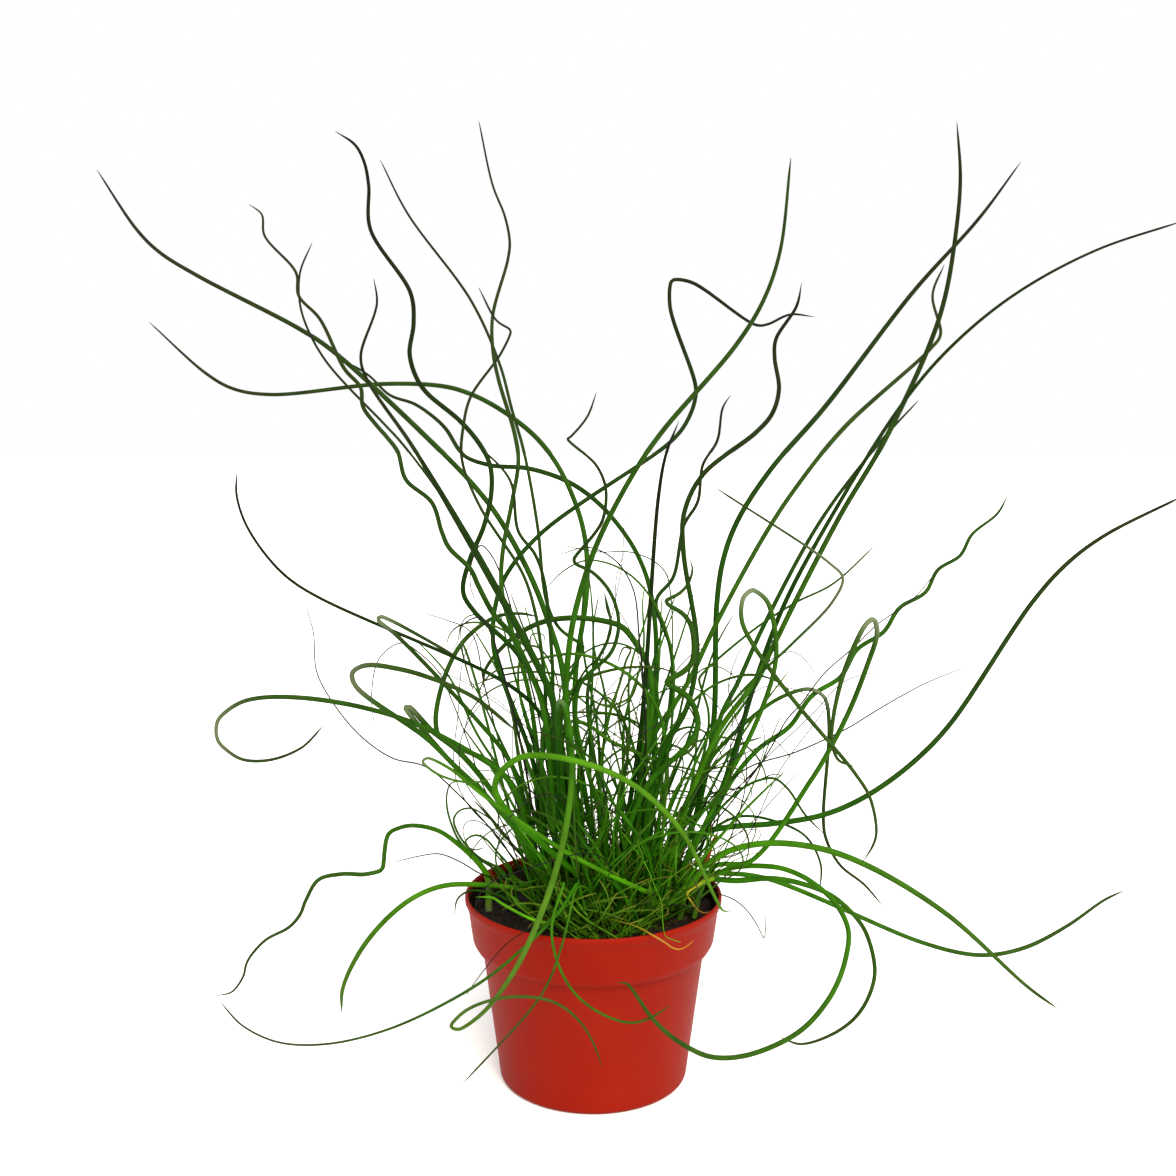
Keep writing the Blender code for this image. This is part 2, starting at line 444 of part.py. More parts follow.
def stem_line(stem):
    """Return a stem's centre line from the base up to the tip, in mm."""
    flat = np.array(stem.route, float)
    steps = np.linalg.norm(np.diff(flat, axis=0), axis=1)
    part = np.concatenate([[0.0], np.cumsum(steps)]) / steps.sum()
    depth = np.interp(part, np.linspace(0.0, 1.0, len(stem.depth)), stem.depth)
    depth = depth * np.interp(flat[:, 1], [SPREAD_FROM, SPREAD_FULL], [1.0, SPREAD])
    if stem.coil:
        size, turns, start = stem.coil
        depth = depth + size * np.sin(2.0 * math.pi * (turns * part + start)) * np.sin(math.pi * part)
    upper = [seen_at(x, z, y) for (x, z), y in zip(flat, depth)]
    low = np.array([stem.base[0], stem.base[1], stem.ground + STEM_START_GAP])
    rise = low + np.array([0.0, 0.0, stem.join])
    rise[:2] += FIRST_LEAN * (upper[-1][:2] - low[:2])
    return thin_out(smooth_route((upper + [rise, low])[::-1]), ROUTE_TOLERANCE)


def stem_radii(line, radius):
    """Return the radius at each point of a line, from the base up.

    A single radius shrinks slowly, then quickly over the last quarter. A tuple is followed as it is.
    """
    steps = np.linalg.norm(np.diff(line, axis=0), axis=1)
    part = np.concatenate([[0.0], np.cumsum(steps)]) / steps.sum()
    if isinstance(radius, tuple):
        return np.interp(part, np.linspace(0.0, 1.0, len(radius)), radius)
    share = (1.0 - THINNING * part) * np.sqrt(np.maximum(1.0 - part ** TIP_POWER, 0.0))
    return TIP_RADIUS + (radius - TIP_RADIUS) * share


def shoot_line(index):
    """Return the centre line of one young shoot, placed round the crown by the golden angle."""
    turn = index * SHOOT_TURN
    out = math.sqrt((index + 0.5) / SHOOT_TRIES)
    x = CROWN_CENTRE[0] + (CROWN_HALF_ACROSS - SHOOT_INSET) * out * math.cos(turn)
    y = CROWN_CENTRE[1] + (CROWN_HALF_DEEP - SHOOT_INSET) * out * math.sin(turn)
    length = float(np.interp(math.sin(index * 2.4), [-1.0, 1.0], SHOOT_LENGTH))
    lean = float(np.interp(out, [0.0, 1.0], SHOOT_LEAN))
    bend = SHOOT_BEND * math.sin(index * 1.7)
    line = []
    for k in range(SHOOT_SPANS + 1):
        part = k / SHOOT_SPANS
        reach = length * part * math.sin(lean) * (0.6 + 0.4 * part)
        side = bend * part * part
        line.append((x + reach * math.cos(turn) - side * math.sin(turn),
                     y + reach * math.sin(turn) + side * math.cos(turn),
                     CROWN_TOP_Z - SHOOT_SINK + length * part * math.cos(lean)))
    return np.array(line)


def shoot_lines():
    """Return the lines of the young shoots that have room between the stems."""
    bases = np.array([stem.base for stem in STEMS])
    lines = [shoot_line(n) for n in range(SHOOT_TRIES)]
    return [line for line in lines if np.linalg.norm(bases - line[0, :2], axis=1).min() > SHOOT_ROOM]


def nearest_on_segments(a, b, c, d):
    """Return how far along a-b and c-d the two nearest points lie, for many pairs at once."""
    u, v, w = b - a, d - c, a - c
    uu = (u * u).sum(1)
    vv = (v * v).sum(1)
    uv = (u * v).sum(1)
    uw = (u * w).sum(1)
    vw = (v * w).sum(1)
    det = uu * vv - uv * uv
    s = np.where(det > 1e-9, (uv * vw - vv * uw) / np.maximum(det, 1e-9), 0.5)
    s = np.clip(s, 0.0, 1.0)
    t = np.clip((uv * s + vw) / np.maximum(vv, 1e-9), 0.0, 1.0)
    s = np.clip((uv * t - uw) / np.maximum(uu, 1e-9), 0.0, 1.0)
    return s, t


def pushes_apart(points, radius, free, one, two):
    """Return the move of each point that parts the stretches lying too close, or None if none do.

    one and two list the first points of every two stretches that belong to different lines.
    """
    low = np.minimum(points[:-1], points[1:])
    high = np.maximum(points[:-1], points[1:])
    near = (low[one] < high[two] + NEAR_BY) & (low[two] < high[one] + NEAR_BY)
    near = near.all(axis=1)
    i, j = one[near], two[near]
    s, t = nearest_on_segments(points[i], points[i + 1], points[j], points[j + 1])
    gap = points[i] + (points[i + 1] - points[i]) * s[:, None]
    gap -= points[j] + (points[j + 1] - points[j]) * t[:, None]
    apart = np.maximum(np.linalg.norm(gap, axis=1), 1e-6)
    thick = (1 - s) * radius[i] + s * radius[i + 1] + (1 - t) * radius[j] + t * radius[j + 1]
    need = thick * FACET_ROOM + STEM_GAP
    bad = apart < need
    if not bad.any():
        return None
    i, j, s, t, gap, apart, need = (v[bad] for v in (i, j, s, t, gap, apart, need))
    hand = np.where(gap[:, 1] >= 0.0, 1.0, -1.0)
    side = np.minimum(np.hypot(gap[:, 0], gap[:, 2]), need)
    wanted = np.sqrt(need ** 2 - side ** 2) + SPARE_GAP
    deep = np.zeros_like(gap)
    deep[:, 1] = hand * (np.maximum(wanted - np.abs(gap[:, 1]), 0.0) * DEEP_SHARE + LEAST_MOVE)
    straight = gap / apart[:, None] * (need - apart)[:, None] * LOOSE_SHARE
    move = np.zeros_like(points)
    for start, part, sign in ((i, s, 1.0), (j, t, -1.0)):
        step = sign * np.where(free[start][:, None], straight, deep)
        np.add.at(move, start, step * (1.0 - part)[:, None])
        np.add.at(move, start + 1, step * part[:, None])
    return move


def pushes_off_pot(points, radius):
    """Return the forward or backward move of each point that touches the pot's outside."""
    heights = [0.0, COLLAR_UNDER_Z, COLLAR_LOW_Z, POT_HEIGHT - LIP_DROP, POT_HEIGHT]
    radii = [FOOT_RADIUS, COLLAR_UNDER_RADIUS, COLLAR_LOW_RADIUS, RIM_RADIUS, RIM_RADIUS]
    wall = np.interp(points[:, 2], heights, radii) + radius + POT_CLEARANCE
    spread = np.hypot(points[:, 0], points[:, 1])
    touching = (points[:, 2] < POT_HEIGHT + radius + POT_CLEARANCE) & (spread < wall)
    touching &= spread > RIM_RADIUS - RIM_REACH
    move = np.zeros_like(points)
    move[touching, 1] = np.sign(points[touching, 1]) * POT_MOVE
    return move


def keep_clear(lines, radii, loose):
    """Return the lines moved apart until every two of them have a gap, and clear of the pot.

    The first point of each line stays. Loose lines move any way. The others move only along the
    eye's sight lines, which keeps the plant's outline from the front.
    """
    counts = [len(line) for line in lines]
    line_of = np.repeat(np.arange(len(lines)), counts)
    first = np.cumsum([0] + counts[:-1])
    points = np.concatenate(lines)
    radius = np.concatenate(radii)
    free = loose[line_of]
    starts = np.nonzero(line_of[:-1] == line_of[1:])[0]
    one, two = np.triu_indices(len(starts), 1)
    one, two = starts[one], starts[two]
    other = line_of[one] != line_of[two]
    one, two = one[other], two[other]
    for _ in range(CLEAR_ROUNDS):
        apart = pushes_apart(points, radius, free, one, two)
        off_pot = pushes_off_pot(points, radius)
        if apart is None and not off_pot.any():
            break
        move = off_pot if apart is None else apart + off_pot
        move[first] = 0.0
        spread = move.copy()
        for shift in (1, -1):
            same = np.roll(line_of, shift) == line_of
            spread += np.where(same[:, None], np.roll(move, shift, axis=0), 0.0) * NEIGHBOUR_SHARE
        spread[first] = 0.0
        sight = points - np.array(EYE)
        along = sight / sight[:, 1:2] * spread[:, 1:2]
        points = points + np.where(free[:, None], spread, along)
    return [points[start:start + count] for start, count in zip(first, counts)]


def clear_scene():
    for obj in list(bpy.data.objects):
        bpy.data.objects.remove(obj, do_unlink=True)
    for group in list(bpy.data.collections):
        bpy.data.collections.remove(group)


def new_collection(name):
    group = bpy.data.collections.new(name)
    bpy.context.scene.collection.children.link(group)
    return group


def new_material(name, colour, roughness):
    mat = bpy.data.materials.new(name)
    mat.use_nodes = True
    shader = mat.node_tree.nodes["Principled BSDF"]
    shader.inputs["Base Color"].default_value = (*colour, 1.0)
    shader.inputs["Roughness"].default_value = roughness
    mat.diffuse_color = (*colour, 1.0)
    return mat


def turned(name, profile, steps, group, mat):
    """Lathe a profile given as (radius, height) in mm round the upright axis."""
    verts = [(r * MM, 0.0, z * MM) for r, z in profile]
    edges = [(i, i + 1) for i in range(len(verts) - 1)]
    mesh = bpy.data.meshes.new(name)
    mesh.from_pydata(verts, edges, [])
    mesh.materials.append(mat)
    obj = bpy.data.objects.new(name, mesh)
    group.objects.link(obj)
    screw = obj.modifiers.new("turn", "SCREW")
    screw.axis = "Z"
    screw.angle = 2.0 * math.pi
    screw.steps = steps
    screw.render_steps = steps
    screw.use_merge_vertices = True
    screw.merge_threshold = 0.00005
    screw.use_smooth_shade = True
    return obj


def drain_drill(name, turn, group):
    """An upright rod through the pot's floor, at an angle round its drain ring."""
    form = bmesh.new()
    bmesh.ops.create_cone(form, cap_ends=True, segments=DRAIN_SIDES, radius1=DRAIN_DIAMETER / 2.0 * MM,
                          radius2=DRAIN_DIAMETER / 2.0 * MM, depth=(POT_FLOOR + 2.0 * DRAIN_REACH) * MM)
    mesh = bpy.data.meshes.new(name)
    form.to_mesh(mesh)
    form.free()
    drill = bpy.data.objects.new(name, mesh)
    across = DRAIN_RING_RADIUS * MM
    drill.location = (across * math.cos(turn), across * math.sin(turn), POT_FLOOR / 2.0 * MM)
    drill.rotation_euler = (0.0, 0.0, turn)
    group.objects.link(drill)
    return drill


def tube(name, line, radii, sides, group, mat):
    """A closed tube along the line, thinning with the radii, in mm."""
    low = max(radii)
    curve = bpy.data.curves.new(name, "CURVE")
    curve.dimensions = "3D"
    curve.bevel_depth = low * MM
    curve.bevel_resolution = 1 if sides == 6 else 0
    curve.use_fill_caps = True
    spline = curve.splines.new("POLY")
    spline.points.add(len(line) - 1)
    for point, place, radius in zip(spline.points, line, radii):
        point.co = (place[0] * MM, place[1] * MM, place[2] * MM, 1.0)
        point.radius = radius / low
    obj = bpy.data.objects.new(name, curve)
    group.objects.link(obj)
    if mat:
        curve.materials.append(mat)
    return obj


def made_mesh(obj):
    """Return the object again with its curve turned into a mesh."""
    bpy.context.view_layer.update()
    graph = bpy.context.evaluated_depsgraph_get()
    mesh = bpy.data.meshes.new_from_object(obj.evaluated_get(graph))
    name = obj.name
    group = obj.users_collection[0]
    bpy.data.objects.remove(obj, do_unlink=True)
    fresh = bpy.data.objects.new(name, mesh)
    group.objects.link(fresh)
    return fresh


def cut(target, tool, operation="DIFFERENCE"):
    mod = target.modifiers.new(operation.lower(), "BOOLEAN")
    mod.operation = operation
    mod.solver = "EXACT"
    mod.object = tool
    tool.hide_render = True
    tool.display_type = "WIRE"


def build_pot(group, tools, mat):
    wall = POT_WALL
    outer = [
        (RIM_RADIUS - wall, POT_HEIGHT), (RIM_RADIUS, POT_HEIGHT - LIP_ROUNDING),
        (RIM_RADIUS, POT_HEIGHT - LIP_DROP), (COLLAR_TOP_RADIUS, POT_HEIGHT - LIP_DROP - 3.5),
        (COLLAR_LOW_RADIUS, COLLAR_LOW_Z), (COLLAR_LOW_RADIUS - 1.4, COLLAR_LOW_Z - 2.6),
        (COLLAR_UNDER_RADIUS, COLLAR_UNDER_Z), (FOOT_RADIUS, FOOT_ROUNDING),
        (FOOT_RADIUS - 0.9, FOOT_ROUNDING * 0.3), (FOOT_RADIUS - FOOT_ROUNDING, 0.0), (0.0, 0.0)]
    inner = [
        (0.0, POT_FLOOR), (FOOT_RADIUS - FOOT_ROUNDING, POT_FLOOR),
        (COLLAR_UNDER_RADIUS - wall, COLLAR_UNDER_Z + 1.0),
        (COLLAR_LOW_RADIUS - wall, COLLAR_LOW_Z + 1.4), (RIM_RADIUS - wall, POT_HEIGHT)]
    pot = turned("pot", outer + inner, POT_STEPS, group, mat)
    for k in range(DRAIN_COUNT):
        turn = 2.0 * math.pi * (k + 0.5) / DRAIN_COUNT
        cut(pot, drain_drill("drain_cutter_%d" % k, turn, tools))
    return pot


def soil_wall(z):
    """Return the radius of the pot's inside at a height, in mm."""
    wall = POT_WALL
    heights = [POT_FLOOR, COLLAR_UNDER_Z + 1.0, COLLAR_LOW_Z + 1.4, POT_HEIGHT]
    radii = [FOOT_RADIUS - FOOT_ROUNDING, COLLAR_UNDER_RADIUS - wall, COLLAR_LOW_RADIUS - wall,
             RIM_RADIUS - wall]
    return float(np.interp(z, heights, radii))


def soil_height(x, y):
    """Return the soil's top at a place: level under the crown, uneven outside it."""
    ring = math.hypot((x - CROWN_CENTRE[0]) / CROWN_HALF_ACROSS, (y - CROWN_CENTRE[1]) / CROWN_HALF_DEEP)
    rough = min(max((ring - SOIL_LEVEL_OUT) * 4.0, 0.0), 1.0)
    wave = math.sin(x * 0.31 + 1.3) * math.cos(y * 0.27 - 0.4) + 0.6 * math.sin(0.53 * y + 0.21 * x)
    return SOIL_TOP_Z + SOIL_BUMP * rough * wave


def build_soil(group, mat):
    """The soil plug: it fills the pot from its floor to the uneven top, with a gap to the wall."""
    face = math.cos(math.pi / POT_STEPS)
    levels = [SOIL_TOP_Z, COLLAR_LOW_Z + 1.6, COLLAR_UNDER_Z + 1.0, POT_FLOOR + SOIL_BOTTOM_CLEAR]
    side = [(soil_wall(z) * face - SOIL_GAP, z) for z in levels]
    top = [(side[0][0] * n / SOIL_RINGS, SOIL_TOP_Z) for n in range(SOIL_RINGS)]
    plug = turned("soil", top + side + [(0.0, levels[-1])], SOIL_STEPS, group, mat)
    soil = made_mesh(plug)
    for vert in soil.data.vertices:
        if vert.co.z > (SOIL_TOP_Z - SOIL_BUMP) * MM:
            vert.co.z = soil_height(vert.co.x / MM, vert.co.y / MM) * MM
    return soil


def fused_shoots(lines, radii, tools):
    """One tool of all the young shoots, which stand clear of each other."""
    parts = [made_mesh(tube("shoot_tool_%d" % n, line, r, 4, tools, None))
             for n, (line, r) in enumerate(zip(lines, radii))]
    joined = bmesh.new()
    for part in parts:
        joined.from_mesh(part.data)
    bmesh.ops.remove_doubles(joined, verts=joined.verts, dist=1e-7)
    mesh = bpy.data.meshes.new("shoots_tool")
    joined.to_mesh(mesh)
    joined.free()
    for part in parts:
        bpy.data.objects.remove(part, do_unlink=True)
    tool = bpy.data.objects.new("shoots_tool", mesh)
    tools.objects.link(tool)
    return tool


def build_crown(group, tools, mat, shoots, radii):
    """The crown: a low oval pad on the soil with every young shoot fused to it."""
    wide = CROWN_HALF_ACROSS
    profile = [(0.0, CROWN_TOP_Z), (0.95 * wide, CROWN_TOP_Z), (wide, CROWN_EDGE_Z),
               (0.93 * wide, CROWN_UNDER_Z), (0.0, CROWN_UNDER_Z)]
    crown = turned("crown_shoots", profile, CROWN_STEPS, group, mat)
    crown.location = (CROWN_CENTRE[0] * MM, CROWN_CENTRE[1] * MM, 0.0)
    crown.scale = (1.0, CROWN_HALF_DEEP / CROWN_HALF_ACROSS, 1.0)
    cut(crown, fused_shoots(shoots, radii, tools), "UNION")
    return crown


def main():
    clear_scene()
    group = new_collection("potted_soft_rush")
    tools = new_collection("cutters")
    pot_mat = new_material("pot_plastic", (0.42, 0.02, 0.008), 0.45)
    soil_mat = new_material("potting_soil", (0.012, 0.007, 0.004), 0.95)
    stem_mat = new_material("rush_stem", (0.05, 0.15, 0.01), 0.4)
    crown_mat = new_material("rush_shoots", (0.06, 0.17, 0.015), 0.5)

    build_pot(group, tools, pot_mat)
    build_soil(group, soil_mat)

    lines = [stem_line(stem) for stem in STEMS]
    radii = [stem_radii(line, stem.radius) for line, stem in zip(lines, STEMS)]
    shoots = shoot_lines()
    shoot_radii = [np.linspace(SHOOT_RADIUS, TIP_RADIUS, len(line)) for line in shoots]
    loose = np.array([False] * len(lines) + [True] * len(shoots))
    cleared = keep_clear(lines + shoots, radii + shoot_radii, loose)

    for stem, line, radius in zip(STEMS, cleared, radii):
        sides = 6 if radius[0] >= THICK_FROM else 4
        tube(stem.name, line, radius, sides, group, stem_mat)
    build_crown(group, tools, crown_mat, cleared[len(lines):], shoot_radii)


main()
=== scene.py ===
"""Looks of a potted soft rush: a curly rush in a round plastic nursery pot.

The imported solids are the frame. Every main stem is drawn again as a smooth round stem along its
solid, the pot as a fine turned shell, and the fine growth between them is grown by rule.
Lengths are in metres, and in millimetres where a name ends in MM, a value passes through mm() or a
class says so.
"""
import logging
import math
import random
from collections.abc import Callable
from dataclasses import dataclass
from enum import Enum
from functools import partial

import bmesh
import bpy
import numpy as np
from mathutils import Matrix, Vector, noise


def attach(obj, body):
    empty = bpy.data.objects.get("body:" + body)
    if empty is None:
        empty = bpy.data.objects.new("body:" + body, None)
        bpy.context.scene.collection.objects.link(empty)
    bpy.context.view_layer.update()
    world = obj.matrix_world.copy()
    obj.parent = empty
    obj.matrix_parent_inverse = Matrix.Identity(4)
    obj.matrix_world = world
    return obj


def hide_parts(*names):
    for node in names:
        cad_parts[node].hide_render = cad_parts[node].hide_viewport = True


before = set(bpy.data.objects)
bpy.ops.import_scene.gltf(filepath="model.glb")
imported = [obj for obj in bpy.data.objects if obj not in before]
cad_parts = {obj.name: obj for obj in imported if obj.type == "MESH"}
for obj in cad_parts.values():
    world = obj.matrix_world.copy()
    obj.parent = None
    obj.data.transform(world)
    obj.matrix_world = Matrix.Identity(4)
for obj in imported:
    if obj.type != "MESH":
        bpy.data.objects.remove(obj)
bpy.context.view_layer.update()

LOG = logging.getLogger("potted_soft_rush")
BODY = "root"
MM = 0.001

# Viewpoint of the photo: eye in mm, downward tilt in radians, lens in mm on a 36 mm sensor
EYE_MM = (-2.5, -650.0, 325.4)
TILT = 0.142
LENS_MM = 44.19
SENSOR_MM = 36.0

# Sizes that the growth shares with the solids
SOIL_TOP_MM = 80.0
CROWN_TOP_MM = 83.4
CROWN_CENTRE_MM = (5.0, 0.0)
CROWN_ACROSS_MM = 43.0
CROWN_DEEP_MM = 33.0
RIM_Z_MM = 89.0

# Young shoots and traced strands end this thin, and a random turn stays below this many radians
TIP_RADIUS_MM = 0.12
FULL_TURN = 6.28

# Share of its radius that a stem loses evenly along its way, and how suddenly its tip draws in
EVEN_TAPER = 0.25
TIP_POWER = 5

# A value, or several spread evenly from a strand's base to its tip
Spread = float | tuple[float, ...]
Place = tuple[float, float, float]
Ring = list[bmesh.types.BMVert]
Shading = tuple[bpy.types.Material, bpy.types.NodeTree, bpy.types.Node]


class Slot(Enum):
    """The material slots."""

    POT = "pot_plastic"
    SOIL = "potting_soil"
    STEM = "rush_stem"
    SHOOT = "rush_shoots"


def mm(value: float) -> float:
    """Return millimetres as metres."""
    return value * MM


def srgb(code: str) -> tuple[float, float, float, float]:
    """Turn an sRGB hex colour into linear values.

    Args:
        code: the colour as "#rrggbb".

    Returns:
        Linear red, green, blue and an alpha of one.
    """
    parts = [int(code[k:k + 2], 16) / 255.0 for k in (1, 3, 5)]
    linear = [c / 12.92 if c <= 0.04045 else ((c + 0.055) / 1.055) ** 2.4 for c in parts]
    return (*linear, 1.0)


def add_node(tree: bpy.types.NodeTree, kind: str, inputs: dict | None = None,
             **settings: object) -> bpy.types.Node:
    """Add a node to a tree.

    Args:
        tree: the shader or geometry tree.
        kind: the node's type name.
        inputs: values or sockets by input name or place; a socket is linked.
        settings: properties of the node, where stops are a colour ramp's (place, hex colour) pairs.

    Returns:
        The new node.
    """
    node = tree.nodes.new(kind)
    stops = settings.pop("stops", [])
    if stops:
        marks = node.color_ramp.elements
        for _ in stops[2:]:
            marks.new(0.5)
        for mark, (place, code) in zip(marks, stops):
            mark.position = place
            mark.color = srgb(code)
    for name, value in settings.items():
        setattr(node, name, value)
    for key, value in (inputs or {}).items():
        named = [s for s in node.inputs if key in (s.identifier, s.name)]
        socket = node.inputs[key] if isinstance(key, int) else min(named, key=lambda s: s.identifier != key)
        if isinstance(value, bpy.types.NodeSocket):
            tree.links.new(value, socket)
        else:
            socket.default_value = value
    return node


def new_material(name: str, **surface: float) -> Shading:
    """Make a material with one Principled shader.

    Args:
        name: the material's name.
        surface: the shader's plain numbers by input name, with _ for a space.

    Returns:
        The material, its tree and the shader node.
    """
    material = bpy.data.materials.new(name)
    material.use_nodes = True
    tree = material.node_tree
    shader = tree.nodes["Principled BSDF"]
    for key, value in surface.items():
        shader.inputs[key.replace("_", " ")].default_value = value
    return material, tree, shader


def add_object(name: str, data: bpy.types.ID) -> bpy.types.Object:
    """Put a new object in the scene, at the origin.

    Args:
        name: the object's name.
        data: its mesh, lamp or camera.

    Returns:
        The object.
    """
    made = bpy.data.objects.new(name, data)
    bpy.context.scene.collection.objects.link(made)
    return made


def mesh_from(form: bmesh.types.BMesh, name: str) -> bpy.types.Mesh:
    """Turn a form into a mesh and free the form.

    Args:
        form: the form, which can't be used after it.
        name: the mesh's name.

    Returns:
        The mesh.
    """
    mesh = bpy.data.meshes.new(name)
    form.to_mesh(mesh)
    form.free()
    return mesh


def level_corner(radius: float, z: float, turn: float) -> Place:
    """Return a place on a level circle round the upright axis."""
    return radius * math.cos(turn), radius * math.sin(turn), z


def add_ring(form: bmesh.types.BMesh, turns: int, corner: Callable[[float], Place]) -> Ring:
    """Add a ring of corners round the upright axis.

    Args:
        form: the form that gets them.
        turns: how many corners.
        corner: gives a corner's place in mm for its angle in radians.

    Returns:
        The new corners in order.
    """
    places = [corner(2.0 * math.pi * k / turns) for k in range(turns)]
    return [form.verts.new([mm(value) for value in place]) for place in places]


def close_rings(form: bmesh.types.BMesh, under: bmesh.types.BMVert, rings: list[Ring],
                top: bmesh.types.BMVert) -> None:
    """Join rings of corners into one closed skin that faces outwards.

    Args:
        form: the form that holds the corners.
        under: the corner below the first ring.
        rings: the rings, from the first to the innermost on top.
        top: the corner inside the last ring.
    """
    turns = len(rings[0])
    for k in range(turns):
        after = (k + 1) % turns
        form.faces.new((under, rings[0][after], rings[0][k]))
        for one, two in zip(rings, rings[1:]):
            form.faces.new((one[k], one[after], two[after], two[k]))
        form.faces.new((rings[-1][k], rings[-1][after], top))
    bmesh.ops.recalc_face_normals(form, faces=form.faces)


@dataclass(frozen=True)
class StemFinish:
    """Rush stem: round, smooth and satin, with fine lengthwise ridges.

    Its colours run from the crown to the dry tip. A stem's tone runs from -1, dark and bluish, over 0 to 4, a
    very bright yellow-green, and turns its colours by a value and a hue. Tones mostly give the stems' own
    differences; the highest also stand in for light, as painted light.
    """

    name: str
    base: str
    low: str
    middle: str
    high: str
    tip: str
    dry_from: float
    roughness: float
    bleached: str = "#666e54"
    low_at: float = 0.08
    middle_at: float = 0.42
    tones: tuple[float, float] = (-1.0, 4.0)
    tone_values: tuple[float, float] = (0.5, 3.2)
    tone_hues: tuple[float, float] = (0.512, 0.472)
    patch_mm: float = 9.0
    patch_detail: float = 3.0
    patch_contrast: tuple[float, float] = (0.3, 0.7)
    patch_values: tuple[float, float] = (0.8, 1.25)
    ridges: float = 22.0
    ridge_mm: float = 0.04
    ridge_strength: float = 0.35
    ior: float = 1.42
    gloss: float = 0.02

    def material(self) -> bpy.types.Material:
        """Build the material.

        Returns:
            The material.
        """
        material, tree, shader = new_material(self.name, Roughness=self.roughness, IOR=self.ior,
                                              Specular_IOR_Level=self.gloss)
        along, tone, bleached, section = [
            add_node(tree, "ShaderNodeAttribute", attribute_name=name).outputs
            for name in ("along", "tone", "bleached", "section")]
        place = add_node(tree, "ShaderNodeTexCoord").outputs["Object"]
        colour = add_node(tree, "ShaderNodeValToRGB", {"Fac": along["Fac"]}, stops=[
            (0.0, self.base), (self.low_at, self.low), (self.middle_at, self.middle),
            (self.dry_from, self.high), (1.0, self.tip)])
        # Patches of lighter and darker skin
        patch = add_node(tree, "ShaderNodeTexNoise", {"Vector": place, "Scale": 1.0 / mm(self.patch_mm),
                                                      "Detail": self.patch_detail})
        patch_value = add_node(tree, "ShaderNodeMapRange", {
            "Value": patch.outputs["Fac"],
            "From Min": self.patch_contrast[0], "From Max": self.patch_contrast[1],
            "To Min": self.patch_values[0], "To Max": self.patch_values[1]})
        value, hue = [
            add_node(tree, "ShaderNodeMapRange", {
                "Value": tone["Fac"], "From Min": self.tones[0], "From Max": self.tones[1],
                "To Min": first, "To Max": last}).outputs[0]
            for first, last in (self.tone_values, self.tone_hues)]
        both = add_node(tree, "ShaderNodeMath", {0: patch_value.outputs[0], 1: value}, operation="MULTIPLY")
        toned = add_node(tree, "ShaderNodeHueSaturation", {
            "Hue": hue, "Saturation": 1.0, "Value": both.outputs[0], "Color": colour.outputs["Color"]})
        # Bruised, bleached skin where a stem was bent sharply
        skin = add_node(tree, "ShaderNodeMix", {
            "Factor_Float": bleached["Fac"], "A_Color": toned.outputs["Color"],
            "B_Color": srgb(self.bleached)}, data_type="RGBA")
        tree.links.new(skin.outputs[2], shader.inputs["Base Color"])
        # Lengthwise ridges, drawn from the angle round the stem
        axes = add_node(tree, "ShaderNodeSeparateXYZ", {0: section["Vector"]}).outputs
        angle = add_node(tree, "ShaderNodeMath", {0: axes["Y"], 1: axes["X"]}, operation="ARCTAN2")
        wave = add_node(tree, "ShaderNodeMath", {0: angle.outputs[0], 1: self.ridges}, operation="MULTIPLY")
        ridge = add_node(tree, "ShaderNodeMath", {0: wave.outputs[0]}, operation="SINE")
        bump = add_node(tree, "ShaderNodeBump", {"Strength": self.ridge_strength, "Height": ridge.outputs[0],
                                                 "Distance": mm(self.ridge_mm)})
        tree.links.new(bump.outputs["Normal"], shader.inputs["Normal"])
        return material


# Living stem: paler where it leaves the crown, deep green along its middle, nearly black at its tip
LIVING = StemFinish(name="living_rush_stem", base="#2c480c", low="#1f4e03", middle="#1c3609", high="#1d240f",
                    tip="#191915", dry_from=0.8, roughness=0.45)
# Thin living stem: an even, lighter green that dulls late
FINE = StemFinish(name="fine_rush_stem", base="#345a0e", low="#265c06", middle="#265208", high="#28420c",
                  tip="#282c10", dry_from=0.85, roughness=0.5)
# Young shoot: fresh olive green with a straw-brown tip
FRESH = StemFinish(name="fresh_rush_shoot", base="#2e440a", low="#305408", middle="#32580c", high="#3c5c12",
                   tip="#4e4618", dry_from=0.8, roughness=0.5)
# Hair-thin dead tip: grey and dark, with a last trace of green low down
DRY = StemFinish(name="hair_thin_rush_tip", base="#2a460c", low="#1e2e0c", middle="#1e2416", high="#242422",
                 tip="#2a2826", dry_from=0.7, roughness=0.6)
# Withered leaf: yellow-green at its base, straw and then orange-brown towards its tip
STRAW = StemFinish(name="straw_yellow_leaf", base="#54780c", low="#62800e", middle="#827a1c", high="#9c6c2a",
                   tip="#985f22", dry_from=0.62, roughness=0.6)
# Papery leaf sheath: warm brown and matt
SHEATH = StemFinish(name="papery_brown_sheath", base="#4a2610", low="#6a3212", middle="#7c3c16",
                    high="#783a16", tip="#642e12", dry_from=0.8, roughness=0.8)


